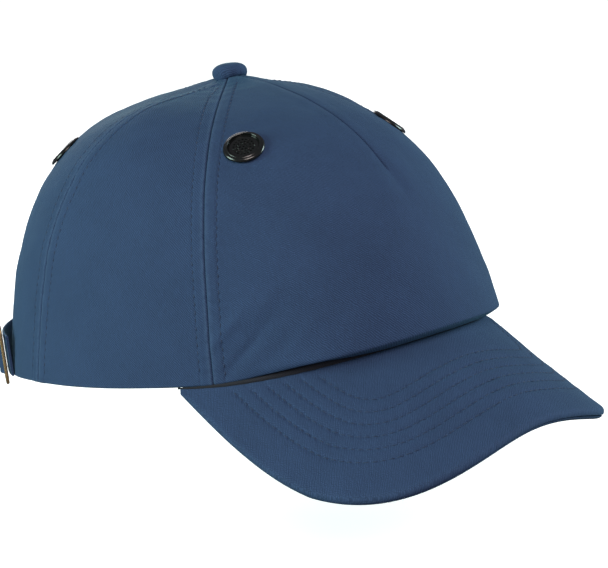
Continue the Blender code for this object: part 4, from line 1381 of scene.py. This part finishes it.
# Each pad's first and last line, its lower and upper edge as shares of a line, and its columns and rows.
PADS = {
    "front": (-0.625, 0.625, 0.3, 0.7, 130, 70),
    "left": (1.125, 2.0, 0.3, 0.7, 80, 70),
    "right": (-2.0, -1.125, 0.3, 0.7, 80, 70),
    "rear_left": (2.625, 2.875, 0.4, 0.7, 50, 60),
    "rear_right": (-2.875, -2.625, 0.4, 0.7, 50, 60),
    "crown": (-3, 3, 0.78, 0.92, 240, 40, True),
}
for pad, sizes in PADS.items():
    make_pad(f"foam_pad_{pad}", *sizes)


def finish_cad(node, material):
    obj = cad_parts[node]
    obj.data.materials.clear()
    obj.data.materials.append(material)
    obj.data.shade_smooth()
    obj.data.set_sharp_from_angle(angle=math.radians(55))


finish_cad("bump_shell", ABS)
finish_cad("peak_board", BOARD_PLASTIC)
finish_cad("button_rivet", STEEL)


# ---- floor, backdrop, lights and camera


STAGE_Z = CAD_BOX[0].z - 30 * MM
STAGE_PROFILE = ((0.0, 0.0), (0.9, 0.0), (1.3, 0.02), (1.6, 0.12), (1.8, 0.32), (1.9, 0.6), (1.95, 1.6))


def make_stage():
    """A pale floor that curves up into a backdrop, all round."""
    steps = 96
    turn = 2 * np.pi * np.arange(steps) / steps
    radius, height = rounded(STAGE_PROFILE)[1:].T[..., None]
    rings = np.stack((radius * np.cos(turn), radius * np.sin(turn), STAGE_Z + height + 0 * turn), -1)
    points = rings.reshape(-1, 3).tolist() + [(0, 0, STAGE_Z)]
    number = np.arange(len(points) - 1).reshape(-1, steps)
    faces = between(number).reshape(-1, 4)[:, [0, 3, 2, 1]].tolist()
    faces += [(len(points) - 1, k, (k + 1) % steps) for k in range(steps)]
    mesh = bpy.data.meshes.new("stage")
    mesh.from_pydata(points, [], faces)
    mesh.shade_smooth()
    made = Nodes("stage_paper")
    paper = made.mix(made.blotches(made.place(), 0.02, 0, 1), (0.93, 0.93, 0.93), (0.95, 0.95, 0.95))
    made.set(Base_Color=paper, Roughness=0.9, Emission_Color=(1, 1, 1, 1), Emission_Strength=0.6)
    mesh.materials.append(made.material)
    stage = bpy.data.objects.new("stage", mesh)
    stage.visible_diffuse = False
    stage.visible_glossy = False
    bpy.context.scene.collection.objects.link(stage)


def area_light(name, place, target, size, power, colour):
    data = bpy.data.lights.new(name, "AREA")
    data.shape, data.size, data.energy, data.color = "DISK", size, power, colour
    light = bpy.data.objects.new(name, data)
    light.location = place
    light.rotation_euler = (Vector(target) - Vector(place)).to_track_quat("-Z", "Y").to_euler()
    bpy.context.scene.collection.objects.link(light)


# Where the photo was taken from: azimuth, elevation and roll in degrees, the cap's middle in millimetres,
# how far off the camera stands and how far it is shifted right and up, and its focal length over the
# picture's width.
VIEW_ANGLES = (-41.055, 8.664, -7.246)
AIM, VIEW_DISTANCE, VIEW_SHIFT = (0, -20.6, 46.3), 568.4 * MM, (13.36 * MM, -23.24 * MM)
FOCAL, SENSOR = 1407.3 / 608, 36


def make_camera():
    azimuth, elevation, roll = (math.radians(a) for a in VIEW_ANGLES)
    right = Vector((math.cos(azimuth), math.sin(azimuth), 0))
    level = math.cos(elevation)
    back = Vector((math.sin(azimuth) * level, -math.cos(azimuth) * level, math.sin(elevation)))
    up = back.cross(right)
    right, up = right * math.cos(roll) + up * math.sin(roll), up * math.cos(roll) - right * math.sin(roll)
    data = bpy.data.cameras.new("camera")
    data.sensor_width = SENSOR
    data.lens = FOCAL * SENSOR
    data.clip_start, data.clip_end = 0.01, 20
    camera = bpy.data.objects.new("camera", data)
    place = Vector(AIM) * MM + right * VIEW_SHIFT[0] + up * VIEW_SHIFT[1] + back * VIEW_DISTANCE
    turn = Matrix((right, up, back)).transposed().to_4x4()
    camera.matrix_world = Matrix.Translation(place) @ turn
    bpy.context.scene.collection.objects.link(camera)
    bpy.context.scene.camera = camera


# Each light's place, what it points at, its size, its power and its colour.
LIGHTS = {
    "key": ((-0.75, -1.15, 0.75), (0, -0.03, 0.04), 0.8, 14, (1.0, 0.86, 0.82)),
    "left": ((-1.3, 0.45, 0.4), (0, 0, 0.05), 0.8, 20, (0.72, 1.0, 0.88)),
    "right": ((1.2, -0.8, 0.4), (0, -0.04, 0.04), 0.7, 16.5, (0.75, 1.0, 1.0)),
    "behind": ((0.6, 1.2, 0.7), (0, 0.03, 0.03), 0.8, 7, (1, 1, 1)),
}
make_stage()
make_camera()
for light, values in LIGHTS.items():
    area_light(light, *values)
bpy.context.scene.view_settings.view_transform = "Standard"
world = bpy.data.worlds.new("studio")
bpy.context.scene.world = world
world.use_nodes = True
background = world.node_tree.nodes["Background"]
background.inputs["Color"].default_value = (0.9, 0.88, 1.0, 1)
background.inputs["Strength"].default_value = 0.21
